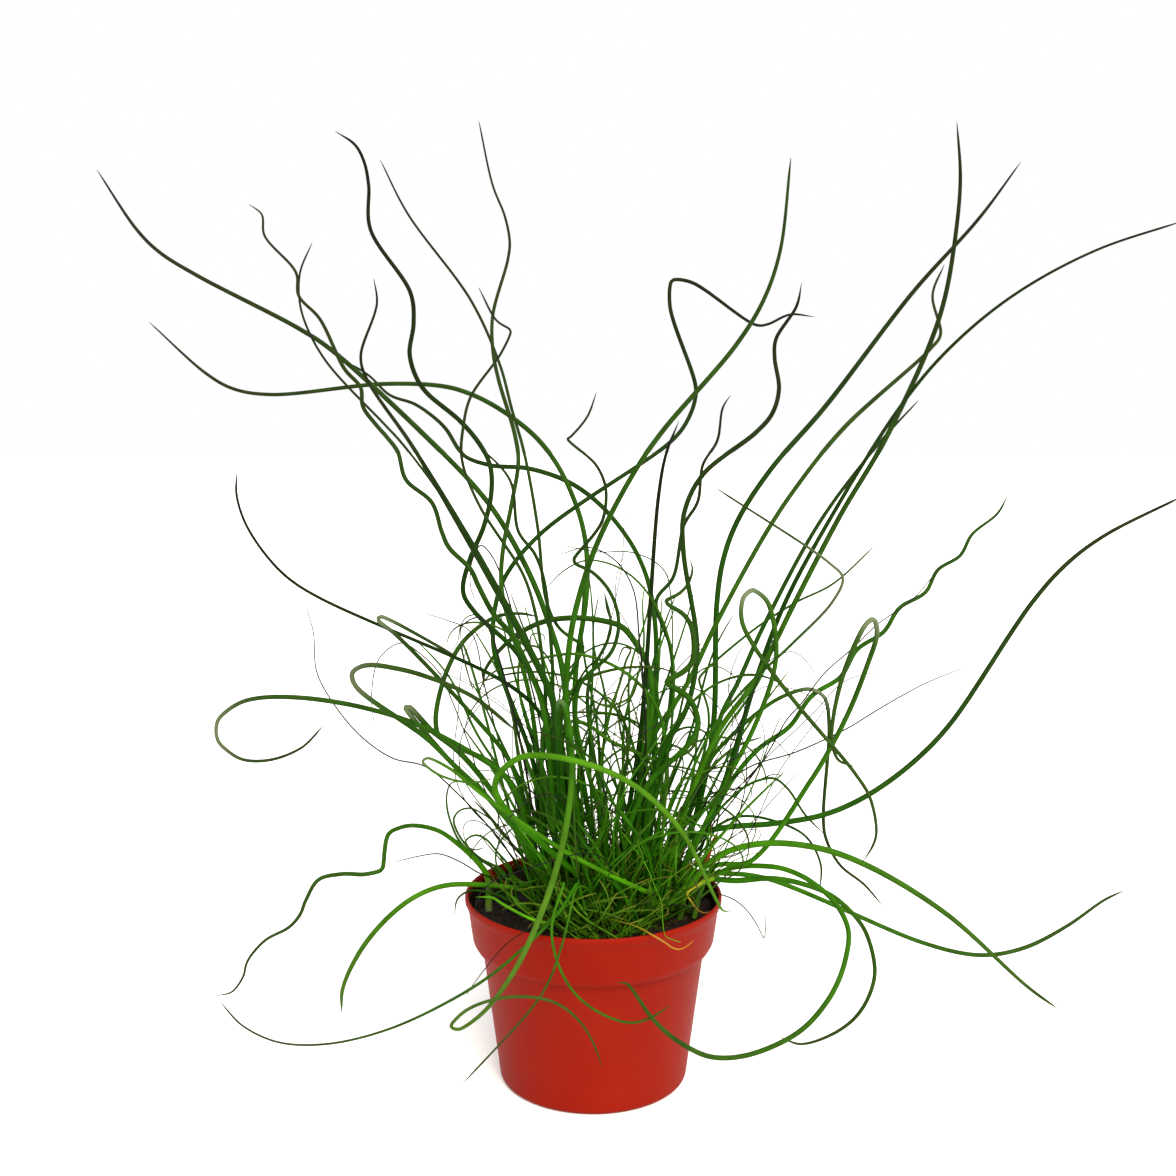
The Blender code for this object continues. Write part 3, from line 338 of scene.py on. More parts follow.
@dataclass(frozen=True)
class PlasticFinish:
    """Injection-moulded polypropylene: even terracotta red with a soft sheen and faint scuffs.

    Inside, a near-black smear covers its wall up to a ragged edge under the lip: partly damp soil that clings
    to it, partly painted shade of the inner wall.
    """

    name: str = "polypropylene_terracotta"
    colour: str = "#781104"
    faded: str = "#80190a"
    most_faded: float = 0.7
    cloud_mm: float = 30.0
    cloud_detail: float = 4.0
    cloud_contrast: tuple[float, float] = (0.35, 0.75)
    # Near-black smear of the inner wall: partly soil, partly painted shade
    smear_and_shade: str = "#1e120a"
    smear_and_shade_mm: float = 4.0
    smear_and_shade_detail: float = 5.0
    smear_and_shade_edge: tuple[float, float] = (0.95, 1.12)
    grain_mm: float = 0.9
    grain_detail: float = 2.0
    grain_depth_mm: float = 0.05
    grain_strength: float = 0.25
    roughness: tuple[float, float] = (0.42, 0.6)
    ior: float = 1.49
    gloss: float = 0.04

    def material(self) -> bpy.types.Material:
        """Build the material.

        Returns:
            The material.
        """
        material, tree, shader = new_material(self.name, IOR=self.ior, Specular_IOR_Level=self.gloss)
        place = add_node(tree, "ShaderNodeTexCoord").outputs["Object"]
        inside = add_node(tree, "ShaderNodeAttribute", attribute_name="inside").outputs["Fac"]
        # Cloudy fading of the pigment, moulded grain, and blots of smeared soil and painted shade
        cloud, grain, blot = [
            add_node(tree, "ShaderNodeTexNoise", {"Vector": place, "Scale": 1.0 / mm(size), "Detail": detail})
            for size, detail in ((self.cloud_mm, self.cloud_detail), (self.grain_mm, self.grain_detail),
                                 (self.smear_and_shade_mm, self.smear_and_shade_detail))]
        blend = add_node(tree, "ShaderNodeMapRange", {
            "Value": cloud.outputs["Fac"], "From Min": self.cloud_contrast[0],
            "From Max": self.cloud_contrast[1], "To Max": self.most_faded})
        colour = add_node(tree, "ShaderNodeMix", {
            "Factor_Float": blend.outputs[0], "A_Color": srgb(self.colour), "B_Color": srgb(self.faded)},
            data_type="RGBA")
        # The smear of soil and painted shade lies denser down the inner wall
        cover = add_node(tree, "ShaderNodeMath", {0: blot.outputs["Fac"], 1: inside}, operation="ADD")
        smear_and_shade_mask = add_node(tree, "ShaderNodeMapRange", {
            "Value": cover.outputs[0], "From Min": self.smear_and_shade_edge[0], "From Max": self.smear_and_shade_edge[1]})
        soiled_and_shaded = add_node(tree, "ShaderNodeMix", {
            "Factor_Float": smear_and_shade_mask.outputs[0], "A_Color": colour.outputs[2], "B_Color": srgb(self.smear_and_shade)},
            data_type="RGBA")
        tree.links.new(soiled_and_shaded.outputs[2], shader.inputs["Base Color"])
        rough = add_node(tree, "ShaderNodeMapRange", {
            "Value": cloud.outputs["Fac"], "To Min": self.roughness[0], "To Max": self.roughness[1]})
        tree.links.new(rough.outputs[0], shader.inputs["Roughness"])
        bump = add_node(tree, "ShaderNodeBump", {
            "Strength": self.grain_strength, "Distance": mm(self.grain_depth_mm),
            "Height": grain.outputs["Fac"]})
        tree.links.new(bump.outputs["Normal"], shader.inputs["Normal"])
        return material


@dataclass(frozen=True)
class EarthyFinish:
    """Matt matter of crumbs or fibres, mottled by the same noise that makes its bump: its gaps are darker,
    partly its own colour and partly painted shade, and its grains lighter.
    """

    name: str
    colours: tuple[str, str, str]
    places: tuple[float, float, float]
    grain_mm: float
    grain_tall: float
    detail: float
    grain_roughness: float
    relief_strength: float
    roughness: float
    gloss: float
    relief_mm: float = 0.5

    def material(self) -> bpy.types.Material:
        """Build the material.

        Returns:
            The material.
        """
        material, tree, shader = new_material(self.name, Roughness=self.roughness,
                                              Specular_IOR_Level=self.gloss)
        place = add_node(tree, "ShaderNodeTexCoord").outputs["Object"]
        stretch = add_node(tree, "ShaderNodeMapping", {"Vector": place,
                                                       "Scale": (1.0, 1.0, 1.0 / self.grain_tall)})
        grain = add_node(tree, "ShaderNodeTexNoise", {
            "Vector": stretch.outputs[0], "Scale": 1.0 / mm(self.grain_mm), "Detail": self.detail,
            "Roughness": self.grain_roughness})
        # Colour from the bump's own noise: the hollows darker as painted shade, the raised grains lighter
        colour = add_node(tree, "ShaderNodeValToRGB", {"Fac": grain.outputs["Fac"]},
                          stops=list(zip(self.places, self.colours)))
        tree.links.new(colour.outputs["Color"], shader.inputs["Base Color"])
        bump = add_node(tree, "ShaderNodeBump", {
            "Strength": self.relief_strength, "Distance": mm(self.relief_mm), "Height": grain.outputs["Fac"]})
        tree.links.new(bump.outputs["Normal"], shader.inputs["Normal"])
        return material


# Old rush bases and dead blades: matt, brown to dull green, in fine upright streaks
THATCH = EarthyFinish(name="old_rush_thatch", colours=("#120e06", "#241d0c", "#3c3a14"),
                      places=(0.35, 0.55, 0.7), grain_mm=1.2, grain_tall=4.0, detail=5.0,
                      grain_roughness=0.5, relief_strength=0.8, roughness=0.9, gloss=0.1)
# Peat potting soil: dark, crumbly and quite dry, with redder fibres
PEAT = EarthyFinish(name="peat_soil", colours=("#0c0705", "#1b110a", "#3c281a"), places=(0.3, 0.55, 0.78),
                    grain_mm=2.0, grain_tall=1.0, detail=6.0, grain_roughness=0.65, relief_strength=0.9,
                    roughness=0.95, gloss=0.2)


@dataclass(frozen=True)
class PaperFinish:
    """Plain matt paper of the studio floor."""

    name: str = "studio_paper"
    colour: str = "#fbfbfa"
    roughness: float = 0.9

    def material(self) -> bpy.types.Material:
        """Build the material.

        Returns:
            The material.
        """
        material, _, shader = new_material(self.name, Roughness=self.roughness)
        shader.inputs["Base Color"].default_value = srgb(self.colour)
        return material


def smooth_route(points: np.ndarray, step: float) -> np.ndarray:
    """Draw a centripetal Catmull-Rom curve through points.

    Args:
        points: the route's points, one row each.
        step: the spacing of the new points, in the points' own unit.

    Returns:
        The evenly dense curve, ends included.
    """
    pts = np.vstack([2.0 * points[0] - points[1], points, 2.0 * points[-1] - points[-2]])
    out = []
    for i in range(1, len(pts) - 2):
        p0, p1, p2, p3 = pts[i - 1:i + 3]
        t1 = math.sqrt(np.linalg.norm(p1 - p0)) + 1e-9
        t2 = t1 + math.sqrt(np.linalg.norm(p2 - p1)) + 1e-9
        t3 = t2 + math.sqrt(np.linalg.norm(p3 - p2)) + 1e-9
        count = max(1, int(round(np.linalg.norm(p2 - p1) / step)))
        t = (t1 + (t2 - t1) * np.arange(count) / count)[:, None]
        a1 = (t1 - t) / t1 * p0 + t / t1 * p1
        a2 = (t2 - t) / (t2 - t1) * p1 + (t - t1) / (t2 - t1) * p2
        a3 = (t3 - t) / (t3 - t2) * p2 + (t - t2) / (t3 - t2) * p3
        b1 = (t2 - t) / t2 * a1 + t / t2 * a2
        b2 = (t3 - t) / (t3 - t1) * a2 + (t - t1) / (t3 - t1) * a3
        out.append((t2 - t) / (t2 - t1) * b1 + (t - t1) / (t2 - t1) * b2)
    return np.vstack(out + [pts[-2:-1]])


def share_along(line: np.ndarray) -> np.ndarray:
    """Return how far along its line each point lies, from 0 to 1."""
    steps = np.linalg.norm(np.diff(line, axis=0), axis=1)
    return np.concatenate([[0.0], np.cumsum(steps)]) / steps.sum()


def spread(part: np.ndarray, values: Spread) -> np.ndarray:
    """Return the value at each share of a strand's way from its base to its tip."""
    known = np.atleast_1d(values)
    return np.interp(part, np.linspace(0.0, 1.0, len(known)), known)


def stem_taper(part: np.ndarray) -> np.ndarray:
    """Return a stem's share of its low radius: it shrinks slowly, then quickly towards the tip."""
    return (1.0 - EVEN_TAPER * part) * np.sqrt(np.maximum(1.0 - part ** TIP_POWER, 0.0))


@dataclass
class Strand:
    """One stem, shoot or hair: its line from the base up, its radius at each point and its tone.

    age is how much of the way to a dry tip it has gone, and bleached how pale each point is.
    """

    line: np.ndarray
    thickness: np.ndarray
    tone: Spread
    age: float = 1.0
    bleached: np.ndarray | float = 0.0


def strands_mesh(name: str, strands: list[Strand]) -> bpy.types.Mesh:
    """Make a mesh of bare polylines with the attributes that the tube tree reads.

    Args:
        name: the mesh's name.
        strands: the strands to draw.

    Returns:
        The mesh, in metres.
    """
    mesh = bpy.data.meshes.new(name)
    points = np.vstack([s.line for s in strands])
    edges, first = [], 0
    for strand in strands:
        count = len(strand.line)
        edges += [(first + k, first + k + 1) for k in range(count - 1)]
        first += count
    mesh.from_pydata(points.tolist(), edges, [])
    values = {
        "thickness": np.concatenate([s.thickness for s in strands]),
        "along": np.concatenate([share_along(s.line) * s.age for s in strands]),
        "tone": np.concatenate([spread(share_along(s.line), s.tone) for s in strands]),
        "bleached": np.concatenate([np.broadcast_to(s.bleached, len(s.line)) for s in strands]),
    }
    for key, numbers in values.items():
        mesh.attributes.new(key, "FLOAT", "POINT").data.foreach_set("value", numbers.astype(np.float32))
    return mesh


class Tree:
    """A Geometry Nodes tree with named inputs, which ends in Realize Instances and Set Material."""

    name = "tree"

    def __init__(self) -> None:
        """Make the group and let the subclass fill it."""
        self.group = bpy.data.node_groups.new(self.name, "GeometryNodeTree")
        self.group.interface.new_socket("Geometry", in_out="OUTPUT", socket_type="NodeSocketGeometry")
        self.add_input("Geometry", "NodeSocketGeometry")
        self.declare()
        self.add_input("Finish", "NodeSocketMaterial")
        self.given = self.group.nodes.new("NodeGroupInput")
        made = self.build()
        real = self.node("GeometryNodeRealizeInstances", {0: made})
        done = self.node("GeometryNodeSetMaterial", {"Geometry": real.outputs[0],
                                                     "Material": self.given.outputs["Finish"]})
        out = self.group.nodes.new("NodeGroupOutput")
        self.group.links.new(done.outputs[0], out.inputs[0])

    def add_input(self, name: str, kind: str) -> None:
        """Declare one named input."""
        self.group.interface.new_socket(name, in_out="INPUT", socket_type=kind)

    def node(self, kind: str, inputs: dict | None = None, **settings: object) -> bpy.types.Node:
        """Add a node to this tree."""
        return add_node(self.group, kind, inputs, **settings)

    def declare(self) -> None:
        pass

    def build(self) -> bpy.types.NodeSocket:
        """Build the tree and return its geometry."""
        raise NotImplementedError

    def run(self, name: str, mesh: bpy.types.Mesh, finish: bpy.types.Material,
            **values: float) -> bpy.types.Object:
        """Run the tree on a mesh and keep the result as a plain mesh piece.

        Args:
            name: the piece's name.
            mesh: the mesh that the tree starts from.
            finish: the material it sets.
            values: the tree's inputs by name, with _ for a space.

        Returns:
            The finished object, at the origin.
        """
        start = add_object(name + "_start", mesh)
        modifier = start.modifiers.new("grow", "NODES")
        modifier.node_group = self.group
        wanted = {key.replace("_", " "): value for key, value in values.items()}
        wanted["Finish"] = finish
        for item in self.group.interface.items_tree:
            if item.in_out == "INPUT" and item.name in wanted:
                modifier[item.identifier] = wanted[item.name]
        start.update_tag()
        bpy.context.view_layer.update()
        graph = bpy.context.evaluated_depsgraph_get()
        made = bpy.data.meshes.new_from_object(start.evaluated_get(graph))
        start.modifiers.clear()
        bpy.data.objects.remove(start, do_unlink=True)
        made.name = name
        return add_object(name, made)


class TubeTree(Tree):
    """Draws a round tube along every polyline, as thick as its points say."""

    name = "round_stems_along_lines"

    def declare(self) -> None:
        self.add_input("Sides", "NodeSocketInt")

    def build(self) -> bpy.types.NodeSocket:
        """Sweep a circle along the lines.

        Returns:
            The tubes.
        """
        curve = self.node("GeometryNodeMeshToCurve", {"Mesh": self.given.outputs["Geometry"]})
        circle = self.node("GeometryNodeCurvePrimitiveCircle", {"Resolution": self.given.outputs["Sides"],
                                                                "Radius": 1.0})
        place = self.node("GeometryNodeInputPosition")
        section = self.node("GeometryNodeStoreNamedAttribute", {
            "Geometry": circle.outputs["Curve"], "Name": "section", "Value": place.outputs[0]},
            data_type="FLOAT_VECTOR", domain="POINT")
        thickness = self.node("GeometryNodeInputNamedAttribute", {"Name": "thickness"}, data_type="FLOAT")
        tube = self.node("GeometryNodeCurveToMesh", {
            "Curve": curve.outputs["Curve"], "Profile Curve": section.outputs[0],
            "Scale": thickness.outputs["Attribute"], "Fill Caps": True})
        smooth = self.node("GeometryNodeSetShadeSmooth", {"Geometry": tube.outputs["Mesh"]})
        return smooth.outputs[0]


class CrumbTree(Tree):
    """Scatters lumpy crumbs over a surface. A crumb starts as a ball one unit across, dented by noise."""

    name = "crumbs_on_soil"
    ball_radius = 0.5
    subdivisions = 1
    dent_scale = 1.7
    dent_detail = 1.0
    dent_middle = (0.5, 0.5, 0.5)

    def declare(self) -> None:
        self.add_input("Density", "NodeSocketFloat")
        self.add_input("Smallest", "NodeSocketFloat")
        self.add_input("Largest", "NodeSocketFloat")
        self.add_input("Seed", "NodeSocketInt")

    def build(self) -> bpy.types.NodeSocket:
        """Instance lumps on random points.

        Returns:
            The crumbs.
        """
        given = self.given.outputs
        spots = self.node("GeometryNodeDistributePointsOnFaces", {
            "Mesh": given["Geometry"], "Density": given["Density"], "Seed": given["Seed"]})
        ball = self.node("GeometryNodeMeshIcoSphere", {"Radius": self.ball_radius,
                                                       "Subdivisions": self.subdivisions})
        dent = self.node("ShaderNodeTexNoise", {"Scale": self.dent_scale, "Detail": self.dent_detail})
        shift = self.node("ShaderNodeVectorMath", {0: dent.outputs["Color"], 1: self.dent_middle},
                          operation="SUBTRACT")
        lump = self.node("GeometryNodeSetPosition", {"Geometry": ball.outputs["Mesh"],
                                                     "Offset": shift.outputs[0]})
        turn = self.node("FunctionNodeRandomValue", {"Max": (FULL_TURN,) * 3, "Seed": given["Seed"]},
                         data_type="FLOAT_VECTOR")
        size = self.node("FunctionNodeRandomValue", {
            "Min_001": given["Smallest"], "Max_001": given["Largest"], "Seed": given["Seed"]},
            data_type="FLOAT")
        angles = self.node("FunctionNodeEulerToRotation", {"Euler": turn.outputs[0]})
        placed = self.node("GeometryNodeInstanceOnPoints", {
            "Points": spots.outputs["Points"], "Instance": lump.outputs[0],
            "Rotation": angles.outputs[0], "Scale": size.outputs[1]})
        return placed.outputs[0]


def finish_piece(piece: bpy.types.Object, slot: Slot, *nodes: str) -> bpy.types.Object:
    """Let a piece ride on the body and hide the solids that it stands for.

    Args:
        piece: the finished piece.
        slot: the material slot; not used.
        nodes: the CAD nodes that it replaces.

    Returns:
        The piece.
    """
    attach(piece, BODY)
    if nodes:
        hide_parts(*nodes)
    LOG.info("%s: %d faces", piece.name, len(piece.data.polygons))
    return piece


# Corners nearer than this in metres are one, faces turned by less than this cosine are one flat
# patch, and a tube has one of these numbers of sides
WELD_GAP = 1e-6
FLAT_COSINE = 0.9999
TUBE_SIDES = (4, 6)


def tube_rings(mesh: bpy.types.Mesh) -> list[np.ndarray]:
    """Read the rings of corners along a faceted tube.

    A cap is a flat patch of four or six corners from which every next ring of neighbours again has
    as many corners.

    Args:
        mesh: the tube's triangles.

    Returns:
        The rings in order, one array of corners each.
    """
    tube = bmesh.new()
    tube.from_mesh(mesh)
    bmesh.ops.remove_doubles(tube, verts=tube.verts, dist=WELD_GAP)
    tube.verts.ensure_lookup_table()
    places = np.array([v.co for v in tube.verts])
    beside = [[e.other_vert(v).index for e in v.link_edges] for v in tube.verts]
    found = None
    for seed in tube.faces:
        patch, work = {seed}, [seed]
        while work:
            for edge in work.pop().edges:
                for face in edge.link_faces:
                    if face not in patch and face.normal.dot(seed.normal) > FLAT_COSINE:
                        patch.add(face)
                        work.append(face)
        ring = {v.index for f in patch for v in f.verts}
        if len(ring) not in TUBE_SIDES:
            continue
        rings, seen, level = [], set(), ring
        while level and len(level) == len(ring):
            rings.append(places[sorted(level)])
            seen |= level
            level = {n for v in level for n in beside[v]} - seen
        if not level and len(seen) == len(places):
            found = rings
            break
    tube.free()
    if found is None:
        raise ValueError(f"{mesh.name} isn't a plain tube")
    return found


# Tone and age of the stems that stand out. The tones are partly the stems' own colours and partly painted
# light: front_arch and front_fall are dark low down as painted shade and very bright higher up as painted
# light. The others take a random tone, and age by their height
LOOKS_AND_PAINTED_LIGHT: dict[str, tuple[Spread, float]] = {
    "stem_low_arch": (1.9, 0.5), "stem_right_under": (1.0, 0.6), "stem_right_bright": (1.6, 0.6),
    # front_arch and front_fall: dark low down as painted shade, very bright higher up as painted light
    "stem_right_curl": (0.8, 0.75), "stem_front_arch": ((-0.5, 0.3, 1.6, 2.5, 2.8, 2.6), 0.4),
    "stem_front_fall": ((-0.9, -0.9, -0.8, 0.6, 2.6, 3.2, 2.8, 1.8, 1.4), 0.7),
    "stem_right_great_loop": (1.0, 0.7), "stem_right_hook": (1.0, 0.65), "stem_right_drop": (0.5, 0.8),
    "stem_right_coil": (0.4, 0.55), "stem_right_green": ((1.8, 1.8, 1.2, 0.4, 0.0, 0.0), 0.9),
    "stem_front_broad": (1.9, 0.4), "stem_right_low": (0.9, 0.7), "stem_left_bow": (-0.2, 0.8),
    "stem_left_long": (-0.7, 1.0), "stem_low_coil": ((4.0, 1.0, 0.8, 0.8, 0.7, 0.6), 0.8),
    "stem_low_sweep": (0.9, 0.9), "stem_pot_thin": (1.2, 0.8),
    "stem_pot_loop": (1.3, 0.5), "stem_arch_left": (0.8, 0.6), "stem_left_loop": (0.6, 0.8),
    "stem_left_coil": (0.4, 0.9), "stem_mid_sweep": (0.8, 0.7), "stem_left_kink": (0.6, 0.6),
    "stem_left_paddle": (0.5, 0.7), "stem_left_hairpin": (0.4, 0.7), "stem_arch_top": (0.8, 0.6),
    "stem_double_kink": (0.5, 0.6), "stem_right_curved_tip": (0.9, 0.85), "stem_left_dark": (-0.3, 0.9),
    "stem_right_exit_low": (-0.1, 0.9), "stem_right_exit_high": (-0.4, 0.9), "stem_right_tall": (-0.3, 0.95),
    "stem_mid_straight": (-0.8, 1.0), "stem_back_wavy": (-0.5, 1.0), "stem_mid_wavy": (-0.3, 0.95),
}

# Share of its thickness that a stem keeps, evenly spread from the base to the tip
SLIM: dict[str, Spread] = {
    "stem_front_fall": (0.4,) * 5 + (0.55, 0.65, 0.7, 0.75, 0.78) + (0.8,) * 6,
    "stem_front_broad": (0.68,), "stem_left_long": (1.3,), "stem_low_coil": (1.0, 0.9, 1.0, 1.0, 1.0),
    "stem_front_arch": (0.5, 0.6, 0.75, 0.9) + (0.92,) * 8,
}

# Places where the skin is bleached, as (across, up) in mm on the upright plane through the pot's
# axis, with the reach in mm and the strength
BLEACHED: dict[str, list[tuple[float, float, float, float]]] = {
    "stem_right_great_loop": [(70.0, 229.0, 7.0, 0.8)], "stem_right_hook": [(127.0, 216.0, 6.0, 0.8)],
    "stem_right_drop": [(104.0, 184.0, 7.0, 0.7)], "stem_right_thin_kink": [(110.0, 236.0, 22.0, 0.6)],
    "stem_left_hairpin": [(-97.0, 218.0, 7.0, 0.6)], "stem_left_loop": [(-172.0, 166.0, 12.0, 0.6)],
    "stem_left_paddle": [(-110.0, 190.0, 10.0, 0.6)],
    "stem_front_fall": [(-15.0, 180.0, 2.5, 0.4)], "stem_left_kink": [(-86.0, 176.0, 5.0, 0.6)],
    "stem_front_broad": [(-78.0, 152.0, 5.0, 0.4)],
    "stem_low_coil": [(-47.5, 92.0, 2.5, 0.7), (-49.0, 79.0, 4.0, 0.7)],
}


@dataclass
class MainStems:
    """The main stems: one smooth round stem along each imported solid."""

    tubes: TubeTree
    finish: bpy.types.Material
    step: float = mm(1.1)
    sides: int = 10
    root_depth: float = mm(3.0)
    tip_thickness: float = mm(0.1)
    tip_length: float = mm(9.0)
    fullness: float = 1.25
    heights: tuple[float, float] = (230.0, 380.0)
    ages: tuple[float, float] = (0.55, 1.0)
    tones: tuple[float, float] = (-0.4, 0.6)
    seed: int = 11

    def nodes(self) -> list[str]:
        """Return the names of the solids that are main stems."""
        return sorted(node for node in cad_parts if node.startswith("stem_"))

    def line_of(self, node: str) -> tuple[np.ndarray, np.ndarray]:
        """Read a stem's centre line and radii from its solid.

        Args:
            node: the CAD node's name.

        Returns:
            The line from the base to the tip, and the radius at each point.
        """
        rings = tube_rings(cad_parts[node].data)
        line = np.array([ring.mean(axis=0) for ring in rings])
        radii = np.array([np.linalg.norm(ring - at, axis=1).min() for ring, at in zip(rings, line)])
        if radii[0] < radii[-1]:
            line, radii = line[::-1], radii[::-1]
        return line, radii

    def bleaching(self, node: str, line: np.ndarray) -> np.ndarray:
        """Return how bleached each point of a stem is.

        Args:
            node: the CAD node's name.
            line: the stem's line in metres.

        Returns:
            A value from 0 to 1 for each point.
        """
        eye = np.array(EYE_MM)
        sight = line / MM - eye
        flat = eye + sight * (-eye[1] / sight[:, 1])[:, None]
        pale = np.zeros(len(line))
        for across, up, reach, strength in BLEACHED.get(node, []):
            away = np.hypot(flat[:, 0] - across, flat[:, 2] - up)
            pale = np.maximum(pale, strength * np.exp(-((away / reach) ** 2)))
        return pale

    def strand(self, node: str, tone: Spread, age: float) -> Strand:
        """Return the smooth strand that stands for a solid.

        Args:
            node: the CAD node's name.
            tone: the stem's tone from -1, dark, to 4, light.
            age: how far towards a dry tip it has gone.

        Returns:
            The strand.
        """
        line, radii = self.line_of(node)
        down = (line[0] - line[1]) / np.linalg.norm(line[0] - line[1])
        rough = np.vstack([line[:1] + down * self.root_depth, line])
        smooth = smooth_route(rough, self.step)
        part = share_along(smooth)
        thickness = np.interp(part, share_along(rough), np.concatenate([radii[:1], radii]))
        thickness = thickness * self.fullness * spread(part, SLIM.get(node, 1.0))
        total = np.linalg.norm(np.diff(smooth, axis=0), axis=1).sum()
        fade = np.clip(1.0 - (1.0 - part) * total / self.tip_length, 0.0, 1.0) ** 2
        thickness = thickness * (1.0 - fade) + self.tip_thickness * fade
        return Strand(smooth, thickness, tone, age, self.bleaching(node, smooth))

    def build(self) -> list[bpy.types.Object]:
        """Build every main stem as a piece of its own.

        Returns:
            The pieces, in the order of the solids' names.
        """
        draw = random.Random(self.seed)
        pieces = []
        for node in self.nodes():
            top = max(corner[2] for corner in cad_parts[node].bound_box) / MM
            usual = (draw.uniform(*self.tones), float(np.interp(top, self.heights, self.ages)))
            strand = self.strand(node, *LOOKS_AND_PAINTED_LIGHT.get(node, usual))
            name = "rush_" + node
            piece = self.tubes.run(name, strands_mesh(name, [strand]), self.finish, Sides=self.sides)
            pieces.append(finish_piece(piece, Slot.STEM, node))
        return pieces

    def bases(self) -> np.ndarray:
        """Return where the stems leave the crown, as (x, y) in mm."""
        return np.array([self.line_of(node)[0][0, :2] for node in self.nodes()]) / MM


@dataclass(frozen=True)
class Growth:
    """How one family of fine stems grows from the crown. Lengths are in mm, angles in degrees.

    bend is the turning in radians for each mm low down, curl what is added to it towards the tip,
    and wave a swing of it to both sides along the way. twist turns the bending plane for each mm.
    With upright at 1 a stem bows in its own upright plane, and at 0 in any plane.
    """

    name: str
    count: int
    seed: int
    length: tuple[float, float]
    radius: tuple[float, float]
    tip_radius: float
    lean_in: float
    lean_out: float
    stray: float
    bend: tuple[float, float]
    curl: tuple[float, float]
    wave: float
    twist: float
    upright: float
    ceiling: float
    reach: float
    tone: tuple[float, float]
    across: float = CROWN_ACROSS_MM
    deep: float = CROWN_DEEP_MM
    step: float = 1.6
    outermost: float = 0.95
    crown_edge: float = 0.97
    depth_in_crown: float = 1.2
    depth_in_soil: float = 0.6
    lean_stray: float = 6.0
    curl_power: float = 2.5
    swings: tuple[float, float] = (0.6, 2.2)
    room_centre: float = 12.0
    room_in_pot: float = 53.0
    clearance: float = 2.0
    steps_in_ground: int = 2
    least_lean: float = 0.02
    tries_each: int = 40

    def root(self, draw: random.Random) -> tuple[Vector, float, float]:
        """Choose where a stem grows from.

        Args:
            draw: the family's random numbers.

        Returns:
            The place in mm, its direction from the crown's centre, and how far out it is, from 0 to 1.
        """
        turn = draw.uniform(0.0, 2.0 * math.pi)
        out = math.sqrt(draw.random()) * self.outermost
        x, y = self.across * out * math.cos(turn), self.deep * out * math.sin(turn)
        on_crown = math.hypot(x / CROWN_ACROSS_MM, y / CROWN_DEEP_MM) < self.crown_edge
        foot = CROWN_TOP_MM - self.depth_in_crown if on_crown else SOIL_TOP_MM - self.depth_in_soil
        return Vector((CROWN_CENTRE_MM[0] + x, CROWN_CENTRE_MM[1] + y, foot)), turn, out

    def line(self, draw: random.Random) -> np.ndarray | None:
        """Grow one line.

        Args:
            draw: the family's random numbers.

        Returns:
            The line in mm, or None where it would leave its room or touch the pot or the soil.
        """
        at, turn, out = self.root(draw)
        lowest = at.z + self.clearance
        lean = self.lean_in + (self.lean_out - self.lean_in) * out + draw.gauss(0.0, self.lean_stray)
        lean = math.radians(lean)
        heading = turn + draw.gauss(0.0, self.stray)
        way = Vector((math.sin(lean) * math.cos(heading), math.sin(lean) * math.sin(heading), math.cos(lean)))
        spin = draw.uniform(-math.pi, math.pi) * (1.0 - self.upright)
        leans_out = lean > self.least_lean
        axis = way.cross(Vector((0.0, 0.0, 1.0))) if leans_out else Vector((0.0, 1.0, 0.0))
        axis = axis.normalized() * -1.0
        axis = axis * math.cos(spin) + way.cross(axis) * math.sin(spin)
        bend, curl = draw.uniform(*self.bend), draw.uniform(*self.curl)
        twist = draw.gauss(0.0, self.twist) * self.step
        wave, phase = draw.gauss(0.0, self.wave), draw.uniform(0.0, FULL_TURN)
        swings = draw.uniform(*self.swings)
        steps = int(draw.uniform(*self.length) / self.step)
        points = [tuple(at)]
        for k in range(steps):
            part = k / steps
            swing = wave * math.sin(phase + 2.0 * math.pi * swings * part)
            angle = (bend + curl * part ** self.curl_power + swing) * self.step
            way = (way * math.cos(angle) - way.cross(axis) * math.sin(angle)).normalized()
            axis = axis * math.cos(twist) + way.cross(axis) * math.sin(twist)
            axis = (axis - way * axis.dot(way)).normalized()
            at = at + way * self.step
            if not self.has_room(at) or (k > self.steps_in_ground and at.z < lowest):
                return None
            points.append(tuple(at))
        return np.array(points)

    def has_room(self, at: Vector) -> bool:
        """Tell whether a point stays in the family's room and off the pot.

        Args:
            at: the point in mm.

        Returns:
            True where a stem may pass.
        """
        if at.z > self.ceiling or math.hypot(at.x - self.room_centre, at.y) > self.reach:
            return False
        return at.z > RIM_Z_MM + self.clearance or math.hypot(at.x, at.y) < self.room_in_pot

    def strands(self) -> list[Strand]:
        """Grow the whole family.

        Returns:
            Its strands, fewer than asked for where too many tries fail.
        """
        draw = random.Random(self.seed)
        made, tries = [], 0
        while len(made) < self.count and tries < self.count * self.tries_each:
            tries += 1
            line = self.line(draw)
            radius, tone = draw.uniform(*self.radius), draw.uniform(*self.tone)
            if line is None:
                continue
            thickness = self.tip_radius + (radius - self.tip_radius) * stem_taper(share_along(line))
            made.append(Strand(line * MM, thickness * MM, tone))
        return made


